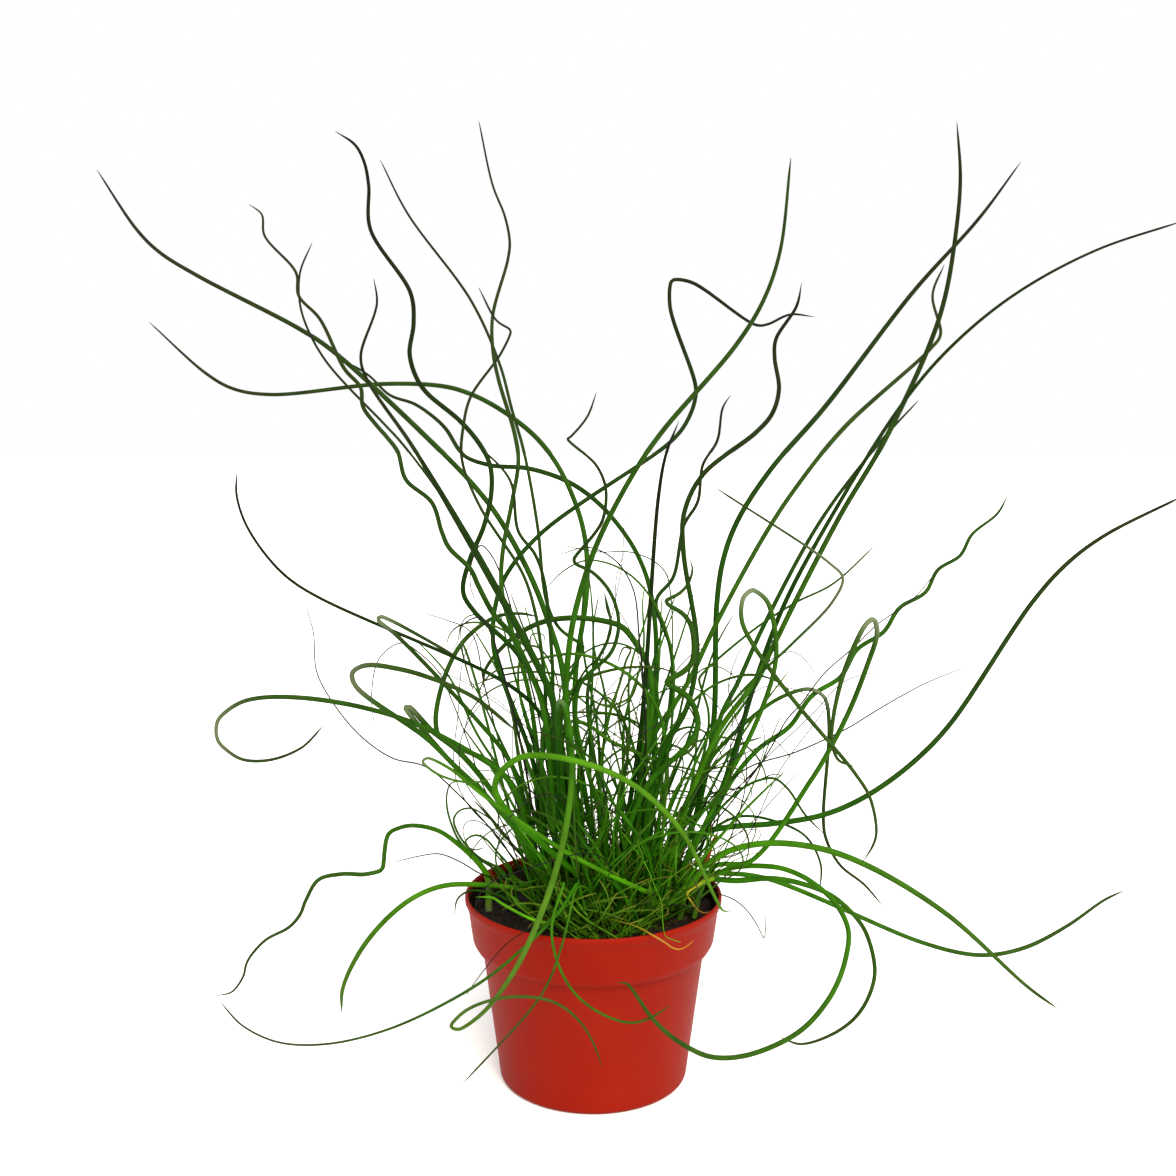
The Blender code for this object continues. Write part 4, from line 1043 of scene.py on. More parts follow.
FAMILIES = [
    Growth(name="inner_stems", count=20, seed=41, length=(60, 135), radius=(0.6, 1.0), tip_radius=0.2,
           lean_in=4, lean_out=40, stray=1.4, bend=(-0.014, 0.02), curl=(-0.03, 0.06), wave=0.025,
           twist=0.01, upright=0.3, ceiling=190, reach=70, tone=(-0.6, 1.6)),
    Growth(name="arching_stems", count=24, seed=22, length=(130, 225), radius=(0.5, 0.8), tip_radius=0.18,
           lean_in=4, lean_out=28, stray=1.0, bend=(0.006, 0.018), curl=(0.0, 0.05), wave=0.012,
           twist=0.005, upright=0.6, ceiling=232, reach=82, tone=(-0.6, 1.2)),
    Growth(name="curling_stems", count=26, seed=27, length=(90, 180), radius=(0.36, 0.52), tip_radius=0.15,
           lean_in=8, lean_out=38, stray=1.3, bend=(0.0, 0.025), curl=(0.02, 0.12), wave=0.025,
           twist=0.014, upright=0.2, ceiling=228, reach=82, tone=(-0.8, 0.6)),
    Growth(name="hair_stems", count=34, seed=23, length=(80, 170), radius=(0.22, 0.3), tip_radius=0.16,
           lean_in=8, lean_out=44, stray=1.3, bend=(-0.015, 0.025), curl=(-0.05, 0.1), wave=0.025,
           twist=0.018, upright=0.2, ceiling=236, reach=98, tone=(-1.0, 0.0)),
    Growth(name="tuft_shoots", count=420, seed=24, length=(12, 60), radius=(0.28, 0.6), tip_radius=0.12,
           lean_in=8, lean_out=68, stray=1.8, bend=(-0.03, 0.04), curl=(-0.03, 0.06), wave=0.02,
           twist=0.015, upright=0.2, ceiling=134, reach=70, tone=(-1.0, 1.6), across=33.0, deep=48.0),
]


@dataclass
class YoungShoots:
    """The young shoots that the solids show too, set round the crown by the golden angle.

    Their length and their bow to one side swing with the shoot's number. Sizes are in mm.
    """

    tubes: TubeTree
    finish: bpy.types.Material
    tries: int = 72
    turn: float = math.radians(137.508)
    inset: float = 5.0
    sink: float = 0.8
    length: tuple[float, float] = (66.0, 158.0)
    length_swing: float = 2.4
    lean: tuple[float, float] = (math.radians(8.0), math.radians(38.0))
    straight: float = 0.6
    bow: float = 10.0
    bow_swing: float = 1.7
    sway: float = 3.2
    fewest_sways: float = 1.0
    more_sways: float = 0.6
    radius: float = 0.8
    points: int = 36
    sides: int = 8
    room: float = 3.6
    tones: tuple[float, float] = (-0.8, 1.1)
    ages: tuple[float, float] = (0.5, 0.9)
    seed: int = 31

    def line(self, index: int) -> np.ndarray:
        """Return the line of one shoot in mm.

        Args:
            index: the shoot's number.

        Returns:
            The line from the crown up.
        """
        turn = index * self.turn
        out = math.sqrt((index + 0.5) / self.tries)
        x = CROWN_CENTRE_MM[0] + (CROWN_ACROSS_MM - self.inset) * out * math.cos(turn)
        y = CROWN_CENTRE_MM[1] + (CROWN_DEEP_MM - self.inset) * out * math.sin(turn)
        length = float(np.interp(math.sin(index * self.length_swing), [-1.0, 1.0], self.length))
        lean = float(np.interp(out, [0.0, 1.0], self.lean))
        part = np.linspace(0.0, 1.0, self.points)
        reach = length * part * math.sin(lean) * (self.straight + (1.0 - self.straight) * part)
        side = self.bow * math.sin(index * self.bow_swing) * part ** 2
        sways = self.fewest_sways + self.more_sways * (index % 3)
        side = side + self.sway * np.sin(2.0 * math.pi * sways * part + index) * part
        return np.column_stack([x + reach * math.cos(turn) - side * math.sin(turn),
                                y + reach * math.sin(turn) + side * math.cos(turn),
                                CROWN_TOP_MM - self.sink + length * part * math.cos(lean)])

    def build(self, bases: np.ndarray) -> bpy.types.Object:
        """Build the shoots that stand clear of the main stems.

        Args:
            bases: where the main stems leave the crown, as (x, y) in mm.

        Returns:
            The joined piece.
        """
        draw = random.Random(self.seed)
        strands = []
        for line in map(self.line, range(self.tries)):
            if np.linalg.norm(bases - line[0, :2], axis=1).min() <= self.room:
                continue
            thickness = TIP_RADIUS_MM + (self.radius - TIP_RADIUS_MM) * stem_taper(share_along(line))
            tone, age = draw.uniform(*self.tones), draw.uniform(*self.ages)
            strands.append(Strand(line * MM, thickness * MM, tone, age))
        mesh = strands_mesh("young_shoots", strands)
        piece = self.tubes.run("young_shoots", mesh, self.finish, Sides=self.sides)
        return finish_piece(piece, Slot.SHOOT, "crown_shoots")


# Hairs that stand clear, from the tip to the base, as (across, up) in mm on the upright plane
# through the pot's axis, with their depth behind it at the tip and their radius in mm
SEEN_HAIRS = [
    ([(-131, 224), (-128, 212), (-127, 194), (-121, 181), (-108, 164), (-93, 153), (-78, 149),
      (-62, 135), (-44, 114), (-32, 94)], -20, 0.3),
    ([(-101, 168), (-102, 183), (-98, 200), (-88, 207), (-78, 201), (-70, 192), (-65, 180), (-57, 158),
      (-53, 144), (-41, 119), (-32, 94)], 30, 0.28),
    ([(-78, 221), (-68, 218), (-56, 212), (-50, 187), (-44, 162), (-36, 133), (-27, 94)], 50, 0.35),
    ([(-61, 208), (-60, 215), (-52, 219), (-48, 215), (-43, 199), (-36, 171), (-29, 133), (-25, 94)],
     -30, 0.45),
    ([(171, 196), (154, 189), (141, 182), (128, 174), (117, 167), (94, 156), (71, 148), (50, 128),
      (31, 94)], 20, 0.32),
    ([(158, 243), (145, 227), (130, 216), (119, 205), (106, 193), (95, 178), (89, 171), (81, 156),
      (71, 141), (50, 114), (34, 92)], 40, 0.3),
    ([(102, 192), (98, 198), (91, 203), (80, 198), (72, 180), (59, 147), (41, 104)], -35, 0.22),
    ([(131, 194), (115, 189), (102, 175), (92, 165), (78, 151), (59, 128), (38, 94)], -20, 0.2),
    ([(91, 149), (91, 153), (88, 157), (84, 161), (78, 159), (66, 153), (54, 147), (40, 123), (29, 94)],
     -40, 0.22),
    ([(69, 207), (65, 199), (62, 186), (65, 174), (69, 161), (71, 145), (67, 124), (56, 99), (45, 89)],
     -25, 0.25),
    ([(59, 199), (64, 192), (69, 180), (69, 166), (63, 143), (50, 109)], 35, 0.22),
    ([(115, 171), (108, 177), (100, 182), (90, 186), (77, 186), (65, 171), (49, 138), (34, 94)], 45, 0.2),
    ([(-53, 224), (-56, 234), (-55, 245), (-51, 252), (-46, 247), (-40, 232), (-34, 208), (-25, 171),
      (-16, 104)], 60, 0.4),
    ([(14, 268), (13, 245), (10, 227), (5, 204), (-2, 171), (-9, 109)], 45, 0.2),
    ([(-15, 248), (-2, 251), (10, 245), (18, 232), (21, 208), (24, 171), (22, 104)], -30, 0.4),
    ([(-93, 103), (-81, 106), (-72, 107), (-62, 103), (-54, 98), (-44, 93)], -25, 0.28),
]


# Green arcs that stand out between the main stems, given in the same way with their tone added
SEEN_ARCS = [
    ([(-21, 233), (-14, 240), (-4, 245), (6, 244), (16, 239), (24, 231), (30, 221), (35, 207), (37, 193),
      (35, 160), (27, 124), (20, 94)], -10, 0.5, 0.3),
    ([(-14, 252), (2, 249), (16, 249), (27, 245), (33, 239), (35, 230), (36, 217), (36, 199), (33, 165),
      (25, 128), (17, 94)], 20, 0.3, -0.6),
    ([(14, 249), (11, 240), (10, 232), (11, 223), (14, 218), (19, 207), (23, 180), (20, 140), (12, 94)],
     10, 0.2, -0.8),
    ([(5, 230), (6, 223), (8, 216), (7, 209), (3, 201), (-4, 194), (-12, 175), (-14, 140), (-8, 94)],
     -15, 0.5, -0.8),
    ([(-53, 182), (-51, 188), (-45, 194), (-35, 196), (-27, 199), (-19, 201), (-9, 202), (1, 200),
      (12, 195), (22, 187), (30, 175), (34, 150), (30, 120), (24, 94)], -20, 0.7, 0.5),
    ([(37, 193), (32, 195), (22, 196), (11, 195), (0, 192), (-8, 187), (-17, 170), (-20, 138), (-14, 94)],
     -5, 0.8, 0.1),
    ([(20, 194), (20, 188), (17, 181), (11, 177), (4, 178), (-4, 182), (-13, 180), (-22, 160), (-24, 120),
      (-18, 94)], -25, 0.5, 0.2),
    ([(-65, 203), (-62, 208), (-61, 214), (-58, 219), (-52, 220), (-49, 216), (-43, 199), (-36, 165),
      (-28, 120), (-20, 94)], 25, 0.35, -0.4),
    ([(43, 179), (47, 171), (48, 163), (45, 157), (40, 154), (33, 152), (26, 153), (17, 157), (8, 161),
      (0, 167), (-7, 170), (-10, 164), (-11, 149), (-10, 124), (-8, 101)], -12, 0.85, 0.5),
    ([(-1, 188), (-3, 184), (0, 180), (6, 178), (12, 179), (17, 182), (20, 188), (24, 184), (25, 170),
      (24, 149), (21, 124), (17, 101)], -20, 0.6, 0.3),
    ([(70, 141), (70, 144), (68, 147), (62, 149), (56, 148), (47, 145), (41, 142), (37, 135),
      (33, 121), (31, 102)], -32, 0.5, 1.2),
    ([(-51, 110), (-56, 109), (-60, 112), (-58, 115), (-54, 116), (-50, 114), (-45, 108), (-39, 100)],
     -22, 0.5, 0.3),
    ([(-46, 122), (-51, 126), (-57, 129), (-62, 128), (-65, 124), (-64, 119), (-60, 112), (-53, 105),
      (-42, 98)], -10, 0.5, 0.2),
    ([(-61, 142), (-66, 141), (-68, 136), (-68, 129), (-66, 121), (-63, 114), (-57, 107), (-45, 98)],
     5, 0.5, 0.1),
    ([(64, 149), (63, 142), (59, 136), (54, 130), (47, 125), (39, 117), (34, 105)], -22, 0.9, 0.0),
    ([(-22, 206), (-23, 211), (-28, 211), (-29, 207), (-27, 201), (-22, 191), (-17, 176), (-14, 155),
      (-13, 130), (-12, 102)], 0, 0.45, 0.0),
    ([(11, 198), (14, 205), (17, 204), (15, 199), (12, 188), (8, 176), (5, 161), (3, 142), (4, 102)],
     -8, 0.7, 0.4),
    ([(-35, 182), (-37, 178), (-36, 164), (-34, 149), (-30, 133), (-25, 118), (-19, 101)], -5, 0.75, 0.1),
    ([(78, 163), (67, 159), (58, 152), (50, 142), (44, 132), (39, 121), (34, 104)], 5, 0.8, 0.9),
]


class Leaf(Enum):
    """What a small leaf is made of."""

    GREEN = "green"
    STRAW = "straw"
    SHEATH = "sheath"
    HAIR = "hair"


# Small leaves and hairs round the pot's rim, from the tip to the base, as (across, up, depth) in mm
# with across and up on the same plane, then the radius in mm or several from the base to the tip,
# the tone and the age
SEEN_LEAVES = [
    (Leaf.STRAW, [(58, 80.8, -8), (55.7, 79.1, -12), (52, 78.2, -18), (48.4, 80.1, -24), (46, 83.6, -27),
                  (44, 87.6, -29), (46, 90, -28), (50, 92.5, -22), (56, 95, -14)],
     (1.0, 1.1, 1.05, 0.6, 0.48, 0.45, 0.42, 0.4), -0.2, 1.0),
    (Leaf.STRAW, [(47.2, 64.7, -49), (44, 61.8, -52), (40.6, 60.3, -54), (37.3, 61.1, -56),
                  (34, 63.5, -58), (28.6, 66.9, -58), (20.5, 71.4, -50), (12, 74, -42), (5, 76, -34)],
     (0.3, 0.35, 0.42, 0.46, 0.48, 0.48, 0.44), -0.3, 1.0),
    (Leaf.GREEN, [(41.2, 63.8, -55), (37.9, 64.9, -56), (34.6, 66.3, -57), (32.8, 72.3, -46),
                  (31.8, 83.6, -42), (29.1, 90.4, -38), (24.2, 102.1, -32), (18, 111.3, -26),
                  (11, 120.5, -20), (4, 131, -14), (0, 112, -6), (-2, 92, 0)], 0.24, 2.6, 0.3),
    (Leaf.STRAW, [(34.5, 80.8, -34), (31.5, 81.8, -34), (28.6, 81, -32), (23, 79, -30), (16, 80, -26)],
     0.32, 0.0, 0.9),
    (Leaf.HAIR, [(-60, 38, -42), (-54.6, 46, -47), (-50.5, 51.5, -51), (-42, 61.9, -55), (-35, 67.5, -56),
                  (-28, 72.5, -50), (-20, 80, -40), (-14, 88, -28)], 0.26, -0.6, 1.0),
    (Leaf.SHEATH, [(58.1, 117.6, 2), (55.6, 112.5, 1), (54, 107, 0), (52.4, 102, 0), (50, 97, 0),
                   (46, 91, 0)], 1.2, 0.0, 1.0),
    (Leaf.SHEATH, [(54.8, 114, 6), (54.2, 108, 5), (51.2, 102, 4), (48, 95, 3)], 0.8, -0.2, 1.0),
    (Leaf.SHEATH, [(-49, 103.5, 22), (-47.5, 100, 22), (-48, 97.5, 20), (-44, 95, 16), (-38, 90, 10)],
     0.45, -0.4, 1.0),
    (Leaf.SHEATH, [(-43, 101, 26), (-43.6, 98.6, 25), (-41, 96, 20), (-36, 92, 12)], 0.35, -0.5, 1.0),
    (Leaf.HAIR, [(81, 77, -20), (81.1, 71, -20), (80.4, 66, -20), (77.7, 71, -20), (74.3, 76.7, -20),
                 (69.5, 82.2, -19), (64.9, 85.3, -18), (60.9, 86.9, -15), (55, 88.6, -10), (46, 91, -4)],
     0.34, -0.4, 1.0),
    (Leaf.GREEN, [(-46.5, 87.6, -8), (-43, 89, -9), (-39, 90.5, -9), (-32, 91.6, -9), (-25, 90, -8)],
     0.6, 0.2, 0.5),
    (Leaf.GREEN, [(15, 74, -45), (16.2, 82, -45), (13, 90.3, -42), (7, 95.8, -36), (0, 95, -28),
                  (-6, 88, -20)], 0.28, 0.9, 0.4),
    (Leaf.GREEN, [(-50, 142, -10), (-45, 135, -14), (-38, 124.5, -20), (-31.6, 115.3, -24),
                  (-25.5, 106, -28), (-19.8, 96.4, -32), (-15.8, 85, -35), (-12.5, 76, -37)], 0.62, 1.7, 0.4),
    (Leaf.GREEN, [(-42, 122, 10), (-34, 112, 2), (-22, 100, -14), (-8, 84, -34), (-3, 77, -40)],
     0.5, 1.4, 0.5),
    (Leaf.GREEN, [(-55, 86, -14), (-47, 85.5, -24), (-42.5, 82.5, -30), (-31, 76, -40), (-26, 74, -42),
                  (-20, 73, -38)], 0.75, 2.5, 0.4),
    (Leaf.GREEN, [(-28, 68.5, -50), (-20, 75.4, -44), (-12, 82, -38), (-3, 90, -30), (4, 98, -22),
                  (8, 92, -12)], 0.42, 0.8, 0.5),
]


@dataclass
class FineGrowth:
    """The thin stems, curls, hairs and tuft of young shoots between the main stems."""

    tubes: TubeTree
    green: bpy.types.Material
    dry: bpy.types.Material
    fresh: bpy.types.Material
    straw: bpy.types.Material
    sheath: bpy.types.Material
    sides: int = 6
    smooth_sides: int = 8
    step: float = 1.5
    fullness: float = 1.35
    foot_depth: float = 0.25
    root_inwards: float = 0.9
    root_depth: float = 1.0
    hair_tone: float = -0.6

    def at_depth(self, flat: np.ndarray, depth: np.ndarray) -> np.ndarray:
        """Move points of the upright plane along the eye's sight lines to their depths, in mm."""
        eye = np.array(EYE_MM)
        return eye + (flat - eye) * ((depth - eye[1]) / -eye[1])[:, None]

    def seen_strand(self, route: list[tuple], tip_depth: float, radius: float, tone: float) -> Strand:
        """Return a fine stem that stands clear.

        Args:
            route: (across, up) points from the tip down, in mm.
            tip_depth: the tip's depth behind the pot's axis, in mm.
            radius: the radius low down, in mm.
            tone: the stem's tone.

        Returns:
            The strand, which ends in the crown.
        """
        flat = np.array([(x, 0.0, z) for x, z in route[::-1]])
        foot = tip_depth * self.foot_depth
        line = self.at_depth(flat, foot + (tip_depth - foot) * share_along(flat))
        root = np.array([[line[0][0] * self.root_inwards, line[0][1], CROWN_TOP_MM - self.root_depth]])
        line = smooth_route(np.vstack([root, line]), self.step)
        thickness = TIP_RADIUS_MM + (radius * self.fullness - TIP_RADIUS_MM) * stem_taper(share_along(line))
        return Strand(line * MM, thickness * MM, tone)

    def leaf_strand(self, route: list[tuple], radius: Spread, tone: float, age: float) -> Strand:
        """Return a small leaf or hair.

        Args:
            route: (across, up, depth) points from the tip to the base, in mm.
            radius: the radius in mm, or several spread evenly from the base to the tip.
            tone: the leaf's tone.
            age: how far towards a dry tip it has gone.

        Returns:
            The strand.
        """
        flat = np.array([(x, 0.0, z) for x, z, _ in route[::-1]])
        line = self.at_depth(flat, np.array([float(depth) for *_, depth in route[::-1]]))
        line = smooth_route(line, self.step / 2.0)
        part = share_along(line)
        thickness = TIP_RADIUS_MM + (spread(part, radius) - TIP_RADIUS_MM) * stem_taper(part)
        return Strand(line * MM, thickness * MM, tone, age)

    def add(self, name: str, strands: list[Strand], look: bpy.types.Material, sides: int) -> None:
        """Build one family as a joined piece."""
        finish_piece(self.tubes.run(name, strands_mesh(name, strands), look, Sides=sides), Slot.SHOOT)
        LOG.info("%s has %d strands", name, len(strands))

    def build(self) -> None:
        """Build every family."""
        own_looks = {"hair_stems": self.dry, "tuft_shoots": self.fresh}
        for family in FAMILIES:
            self.add(family.name, family.strands(), own_looks.get(family.name, self.green), self.sides)
        hairs = [self.seen_strand(*hair, self.hair_tone) for hair in SEEN_HAIRS]
        self.add("seen_hairs", hairs, self.dry, self.sides)
        arcs = [self.seen_strand(*arc) for arc in SEEN_ARCS]
        self.add("seen_arcs", arcs, self.green, self.smooth_sides)
        looks = {Leaf.GREEN: self.green, Leaf.STRAW: self.straw, Leaf.SHEATH: self.sheath,
                 Leaf.HAIR: self.dry}
        for kind, look in looks.items():
            leaves = [self.leaf_strand(*leaf) for made_of, *leaf in SEEN_LEAVES if made_of is kind]
            self.add(kind.value + "_leaves", leaves, look, self.smooth_sides)


@dataclass
class Pot:
    """The nursery pot: a turned shell with a rolled lip, a collar and drain holes. Sizes in mm."""

    finish: bpy.types.Material
    height: float = 89.0
    rim: float = 60.0
    lip_drop: float = 3.0
    lip_roll: float = 0.8
    collar_top: float = 58.4
    collar_low: float = 56.4
    collar_low_z: float = 68.0
    under: float = 52.0
    under_z: float = 64.0
    foot: float = 44.3
    foot_rounding: float = 3.0
    wall: float = 1.6
    floor: float = 2.4
    inner_collar: float = 1.4
    inner_under: float = 1.0
    inner_foot: tuple[float, float] = (1.0, 1.6)
    inner_lip: float = 2.2
    arc_steps: int = 6
    inner_steps: int = 7
    steps: int = 144
    drain_count: int = 6
    drain_ring: float = 29.0
    drain_radius: float = 4.5
    drill_length: float = 8.0
    drill_sides: int = 24
    # Depths under the lip, and how far the soil smear and painted shade reach there
    soiled_and_shaded_from: tuple[float, float] = (7.0, 1.0)
    soiled_and_shaded: tuple[float, float] = (1.0, 0.25)
    inner_slack: float = 0.2
    underside: float = 1.0
    sharp_from: float = math.radians(38.0)

    def eased(self, radius: float, z: float, *steps: tuple[float, float]) -> list[tuple[float, float]]:
        """Return a rounded corner of the outline, as small (out, up) steps off its sharp point."""
        return [(radius + out, z + up) for out, up in steps]

    def inner_wall(self) -> list[tuple[float, float]]:
        """Return the inner wall above the foot as (radius, height), from below."""
        return [(self.under - self.wall, self.under_z + self.inner_under),
                (self.collar_low - self.wall, self.collar_low_z + self.inner_collar),
                (self.rim - self.wall, self.height - self.inner_lip)]

    def profile(self) -> list[tuple[float, float]]:
        """Draw the wall's outline, down the outside and back up the inside.

        Returns:
            The outline's points as (radius, height).
        """
        half, lip_z = self.wall / 2.0, self.height - self.lip_drop
        turns = [math.pi * k / self.arc_steps for k in range(self.arc_steps + 1)]
        outline = [(self.rim - half + half * math.cos(math.pi - turn),
                    self.height - self.lip_roll + self.lip_roll * math.sin(turn)) for turn in turns]
        outline += self.eased(self.rim, lip_z, (0.0, 0.4), (-0.25, 0.0))
        outline += self.eased(self.collar_top, lip_z, (0.35, -2.6), (0.0, -3.6))
        outline += self.eased(self.collar_low, self.collar_low_z, (0.15, 0.6), (-0.3, -0.7), (-1.4, -2.6))
        outline += self.eased(self.under, self.under_z, (0.5, 0.4), (0.0, -0.4))
        outline += [(self.foot - self.foot_rounding * (1.0 - math.cos(turn / 2.0)),
                     self.foot_rounding * (1.0 - math.sin(turn / 2.0))) for turn in turns]
        inner_foot = self.foot - self.foot_rounding
        outline += [(0.0, 0.0), (0.0, self.floor), (inner_foot, self.floor),
                    (inner_foot + self.inner_foot[0], self.floor + self.inner_foot[1])]
        low, (r0, z0), (r1, z1) = self.inner_wall()
        shares = [k / self.inner_steps for k in range(self.inner_steps + 1)]
        return outline + [low] + [(r0 + (r1 - r0) * share, z0 + (z1 - z0) * share) for share in shares]

    def shell(self) -> bpy.types.Object:
        """Turn the profile into a closed shell.

        Returns:
            The shell, not drilled yet.
        """
        form = bmesh.new()
        rings = [add_ring(form, self.steps if r else 1, partial(level_corner, r, z))
                 for r, z in self.profile()]
        for one, two in zip(rings, rings[1:] + rings[:1]):
            for k in range(self.steps):
                after = (k + 1) % self.steps
                corners = [one[k % len(one)], one[after % len(one)], two[after % len(two)], two[k % len(two)]]
                corners = [c for n, c in enumerate(corners) if c not in corners[:n]]
                if len(corners) > 2:
                    form.faces.new(corners)
        bmesh.ops.recalc_face_normals(form, faces=form.faces)
        return add_object("pot_shell", mesh_from(form, "pot_shell"))

    def drills(self) -> bpy.types.Object:
        """Build the round bars that cut the drain holes.

        Returns:
            All the bars as one object.
        """
        form = bmesh.new()
        for k in range(self.drain_count):
            turn = 2.0 * math.pi * (k + 0.5) / self.drain_count
            made = bmesh.ops.create_cone(form, cap_ends=True, segments=self.drill_sides,
                                         radius1=mm(self.drain_radius), radius2=mm(self.drain_radius),
                                         depth=mm(self.drill_length))
            place = (mm(self.drain_ring) * math.cos(turn), mm(self.drain_ring) * math.sin(turn), 0.0)
            bmesh.ops.translate(form, verts=made["verts"], vec=place)
        return add_object("drills", mesh_from(form, "drills"))

    def mark_inside(self, mesh: bpy.types.Mesh) -> None:
        """Store how far the soil smear and painted shade reach up the inner wall, from 0 at the lip to 1 low
        down.

        Args:
            mesh: the pot's mesh, in metres.
        """
        places = np.array([v.co for v in mesh.vertices]) / MM
        wall = [(self.foot - self.wall, self.floor), *self.inner_wall(), (self.rim - self.wall, self.height)]
        walls, heights = zip(*wall)
        widest = np.interp(places[:, 2], heights, walls) + self.inner_slack
        inner = np.hypot(places[:, 0], places[:, 1]) < widest
        reach = np.interp(places[:, 2], [self.height - down for down in self.soiled_and_shaded_from], self.soiled_and_shaded)
        marks = np.where(inner & (places[:, 2] > self.underside), reach, 0.0).astype(np.float32)
        mesh.attributes.new("inside", "FLOAT", "POINT").data.foreach_set("value", marks)

    def build(self) -> bpy.types.Object:
        """Build the pot and drill its drain holes.

        Returns:
            The finished pot.
        """
        shell, drills = self.shell(), self.drills()
        cut = shell.modifiers.new("drain", "BOOLEAN")
        cut.operation = "DIFFERENCE"
        cut.solver = "EXACT"
        cut.object = drills
        bpy.context.view_layer.update()
        mesh = bpy.data.meshes.new_from_object(shell.evaluated_get(bpy.context.evaluated_depsgraph_get()))
        for spare in (shell, drills):
            bpy.data.objects.remove(spare, do_unlink=True)
        mesh.name = "nursery_pot"
        mesh.materials.clear()
        mesh.materials.append(self.finish)
        self.mark_inside(mesh)
        mesh.shade_smooth()
        mesh.set_sharp_from_angle(angle=self.sharp_from)
        return finish_piece(add_object("nursery_pot", mesh), Slot.POT, "pot")


@dataclass(frozen=True)
class Lumps:
    """Natural unevenness: lumps so many mm apart and high, with finer ones on them."""

    spacing: float
    height: float
    layer: float
    fading: float = 0.8
    finer: float = 2.0
    octaves: int = 3

    def at(self, x: float, y: float) -> float:
        """Return the unevenness at a place, about -1 to 1."""
        return noise.fractal(Vector((x, y, self.layer)) / self.spacing, self.fading, self.finer, self.octaves)


@dataclass
class Soil:
    """The soil: an uneven plug of peat, banked up at the pot's wall, with crumbs. Sizes in mm."""

    finish: bpy.types.Material
    crumbs: CrumbTree
    top: float = SOIL_TOP_MM
    bottom: float = 2.8
    side: tuple[tuple[float, float], ...] = ((40.6, 2.8), (41.2, 4.4), (49.8, 63.5), (54.0, 69.4))
    radius: float = 55.4
    waves: Lumps = Lumps(spacing=9.0, height=0.9, layer=3.0, fading=0.9, finer=2.1, octaves=4)
    lumps: Lumps = Lumps(spacing=2.6, height=0.55, layer=7.0)
    bank: float = 2.6
    bank_from: float = 44.0
    bank_shape: tuple[float, float] = (0.6, 0.8)
    turns: int = 120
    rings: int = 46
    crumbs_per_m2: float = 160000.0
    crumb_size: tuple[float, float] = (0.8, 2.6)
    crumb_seed: int = 5
    bed_drop: float = 4.0
    bed_steepest: float = 0.3

    def height(self, x: float, y: float) -> float:
        """Return the uneven soil's height at a place.

        Args:
            x: the place across.
            y: the place from front to back.

        Returns:
            The height above the floor.
        """
        rough, fine = self.waves.at(x, y), self.lumps.at(x, y)
        edge = max(0.0, math.hypot(x, y) - self.bank_from) / (self.radius - self.bank_from)
        bank = self.bank * edge * (self.bank_shape[0] + self.bank_shape[1] * rough)
        return self.top + self.waves.height * rough + self.lumps.height * fine + bank

    def corner(self, radius: float, turn: float) -> Place:
        """Return a place on the uneven top."""
        x, y = radius * math.cos(turn), radius * math.sin(turn)
        return x, y, self.height(x, y)

    def plug(self) -> bpy.types.Object:
        """Build the plug.

        Returns:
            The plug.
        """
        form = bmesh.new()
        under = form.verts.new((0.0, 0.0, mm(self.bottom)))
        rings = [add_ring(form, self.turns, partial(level_corner, r, z)) for r, z in self.side]
        rings += [add_ring(form, self.turns, partial(self.corner, self.radius * n / self.rings))
                  for n in range(self.rings, 0, -1)]
        close_rings(form, under, rings, form.verts.new((0.0, 0.0, mm(self.height(0.0, 0.0)))))
        mesh = mesh_from(form, "potting_soil")
        mesh.materials.append(self.finish)
        mesh.shade_smooth()
        return add_object("potting_soil", mesh)

    def bed(self, plug: bpy.types.Mesh) -> bpy.types.Mesh:
        """Cut off the plug's top as a sheet to scatter on.

        Args:
            plug: the plug's mesh, in metres.

        Returns:
            The sheet.
        """
        form = bmesh.new()
        form.from_mesh(plug)
        lowest = mm(self.top - self.bed_drop)
        low = [face for face in form.faces
               if face.normal.z < self.bed_steepest or face.calc_center_median().z < lowest]
        bmesh.ops.delete(form, geom=low, context="FACES")
        return mesh_from(form, "soil_bed")

    def build(self) -> None:
        """Build the plug and its crumbs."""
        plug = finish_piece(self.plug(), Slot.SOIL, "soil")
        smallest, largest = self.crumb_size
        crumbs = self.crumbs.run("soil_crumbs", self.bed(plug.data), self.finish, Density=self.crumbs_per_m2,
                                 Smallest=mm(smallest), Largest=mm(largest), Seed=self.crumb_seed)
        finish_piece(crumbs, Slot.SOIL)


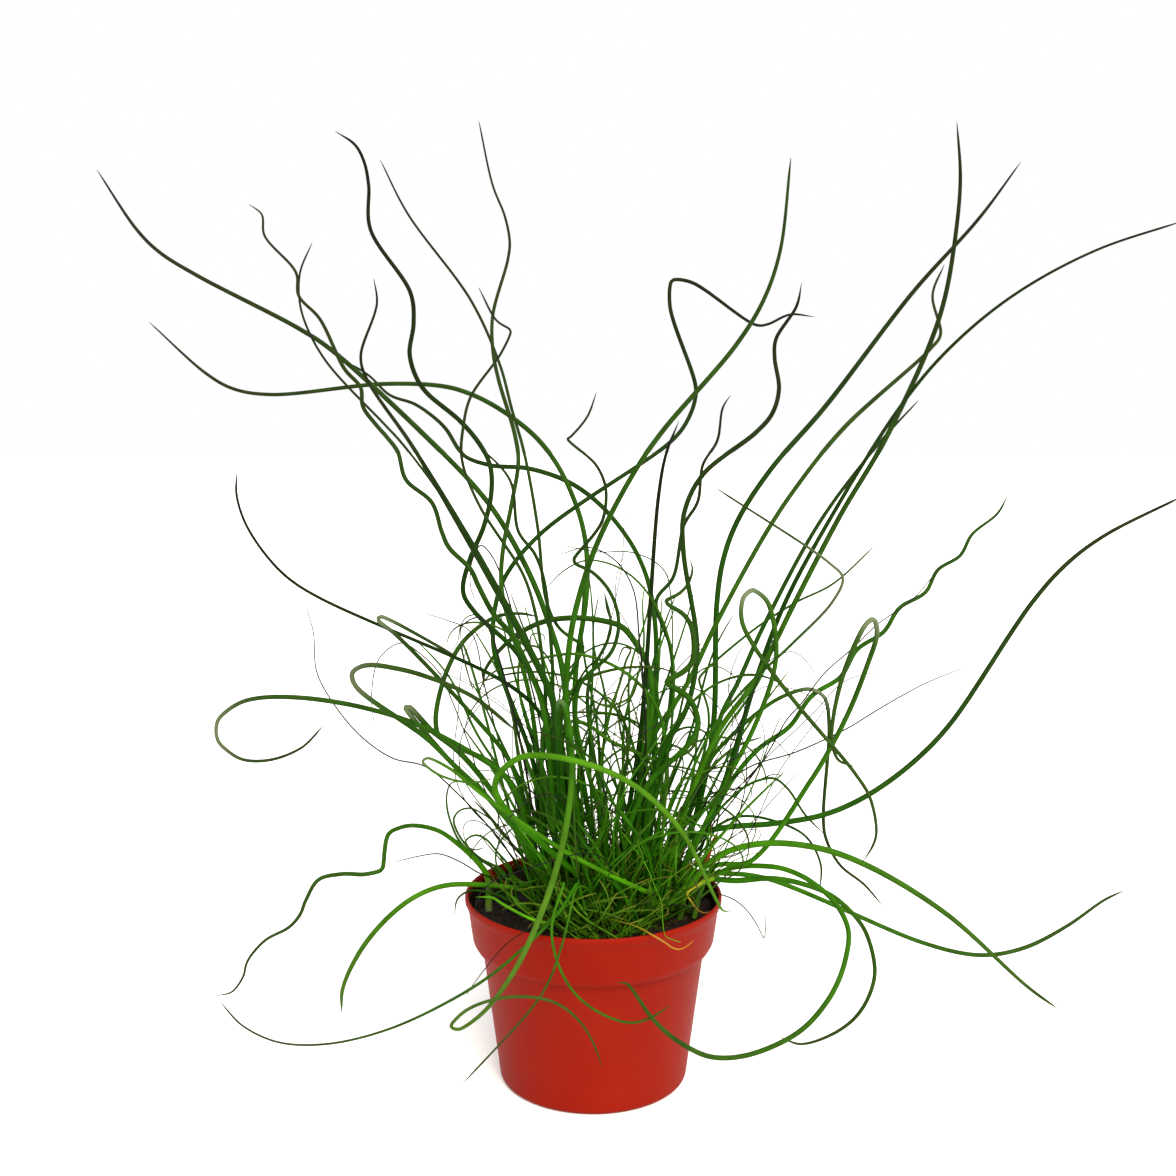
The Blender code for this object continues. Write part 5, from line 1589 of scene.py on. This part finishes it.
@dataclass
class Crown:
    """The crown: the low mat of old stem bases that everything grows from. Sizes in mm."""

    finish: bpy.types.Material
    turns: int = 96
    rings: int = 26
    edge_z: float = 79.0
    swell: float = 4.2
    flatness: int = 6
    under: float = 1.0
    lumps: Lumps = Lumps(spacing=3.2, height=0.9, layer=1.0)

    def corner(self, share: float, turn: float) -> Place:
        """Return a place on the lumpy mound.

        Args:
            share: how far out it is, from 0 in the middle to 1 at the edge.
            turn: its angle round the middle in radians.

        Returns:
            The place.
        """
        x = CROWN_CENTRE_MM[0] + CROWN_ACROSS_MM * share * math.cos(turn)
        y = CROWN_CENTRE_MM[1] + CROWN_DEEP_MM * share * math.sin(turn)
        swell = 1.0 - share ** self.flatness
        return x, y, self.edge_z + self.swell * swell + self.lumps.height * self.lumps.at(x, y) * swell

    def build(self) -> bpy.types.Object:
        """Build the mound inside the solid crown's outline.

        Returns:
            The finished crown.
        """
        form = bmesh.new()
        rings = [add_ring(form, self.turns, partial(self.corner, n / self.rings))
                 for n in range(self.rings, 0, -1)]
        top, under = [form.verts.new((*map(mm, CROWN_CENTRE_MM), mm(z)))
                      for z in (CROWN_TOP_MM, self.edge_z - self.under)]
        close_rings(form, under, rings, top)
        mesh = mesh_from(form, "rush_crown")
        mesh.materials.append(self.finish)
        mesh.shade_smooth()
        return finish_piece(add_object("rush_crown", mesh), Slot.SHOOT, "crown_shoots")


@dataclass
class Studio:
    """The plain pale floor, the soft light and the camera at the photo's angle. Sizes in metres."""

    paper: bpy.types.Material
    floor_size: float = 12.0
    sky: float = 1.0
    key_strength: float = 5.0
    key_colour: tuple[float, float, float] = (1.0, 0.95, 0.84)
    key_angle: float = math.radians(40.0)
    key_place: tuple[float, float, float] = (0.4, -1.1, 1.15)
    nearest: float = 0.01

    def floor(self) -> None:
        """Lay the floor."""
        half = self.floor_size / 2.0
        mesh = bpy.data.meshes.new("studio_floor")
        corners = [(-half, -half, 0.0), (half, -half, 0.0), (half, half, 0.0), (-half, half, 0.0)]
        mesh.from_pydata(corners, [], [(0, 1, 2, 3)])
        mesh.materials.append(self.paper)
        floor = add_object("studio_floor", mesh)

    def lights(self) -> None:
        """Light the room white, with a broad soft key light over the viewer's right shoulder."""
        world = bpy.data.worlds.new("white_room")
        world.use_nodes = True
        background = world.node_tree.nodes["Background"].inputs
        background["Color"].default_value = (1.0, 1.0, 1.0, 1.0)
        background["Strength"].default_value = self.sky
        bpy.context.scene.world = world
        data = bpy.data.lights.new("key_light", "SUN")
        data.energy = self.key_strength
        data.color = self.key_colour
        data.angle = self.key_angle
        lamp = add_object("key_light", data)
        lamp.location = self.key_place
        lamp.rotation_euler = Vector(self.key_place).to_track_quat("Z", "Y").to_euler()

    def camera(self) -> None:
        """Set up the camera."""
        data = bpy.data.cameras.new("photo_camera")
        data.sensor_width = SENSOR_MM
        data.lens = LENS_MM
        data.clip_start = self.nearest
        camera = add_object("photo_camera", data)
        camera.location = [mm(v) for v in EYE_MM]
        camera.rotation_euler = (math.pi / 2.0 - TILT, 0.0, 0.0)
        bpy.context.scene.camera = camera
        bpy.context.scene.view_settings.view_transform = "Standard"

    def build(self) -> None:
        """Build the stage."""
        self.floor()
        self.lights()
        self.camera()


def main() -> None:
    """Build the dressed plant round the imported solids."""
    logging.basicConfig(level=logging.INFO, format="%(name)s: %(message)s")
    tubes = TubeTree()
    living, fine = LIVING.material(), FINE.material()
    Studio(PaperFinish().material()).build()
    Pot(PlasticFinish().material()).build()
    Soil(PEAT.material(), CrumbTree()).build()
    Crown(THATCH.material()).build()
    stems = MainStems(tubes, living)
    stems.build()
    YoungShoots(tubes, fine).build(stems.bases())
    FineGrowth(tubes, green=fine, dry=DRY.material(), fresh=FRESH.material(), straw=STRAW.material(),
               sheath=SHEATH.material()).build()


if __name__ == "__main__":
    main()
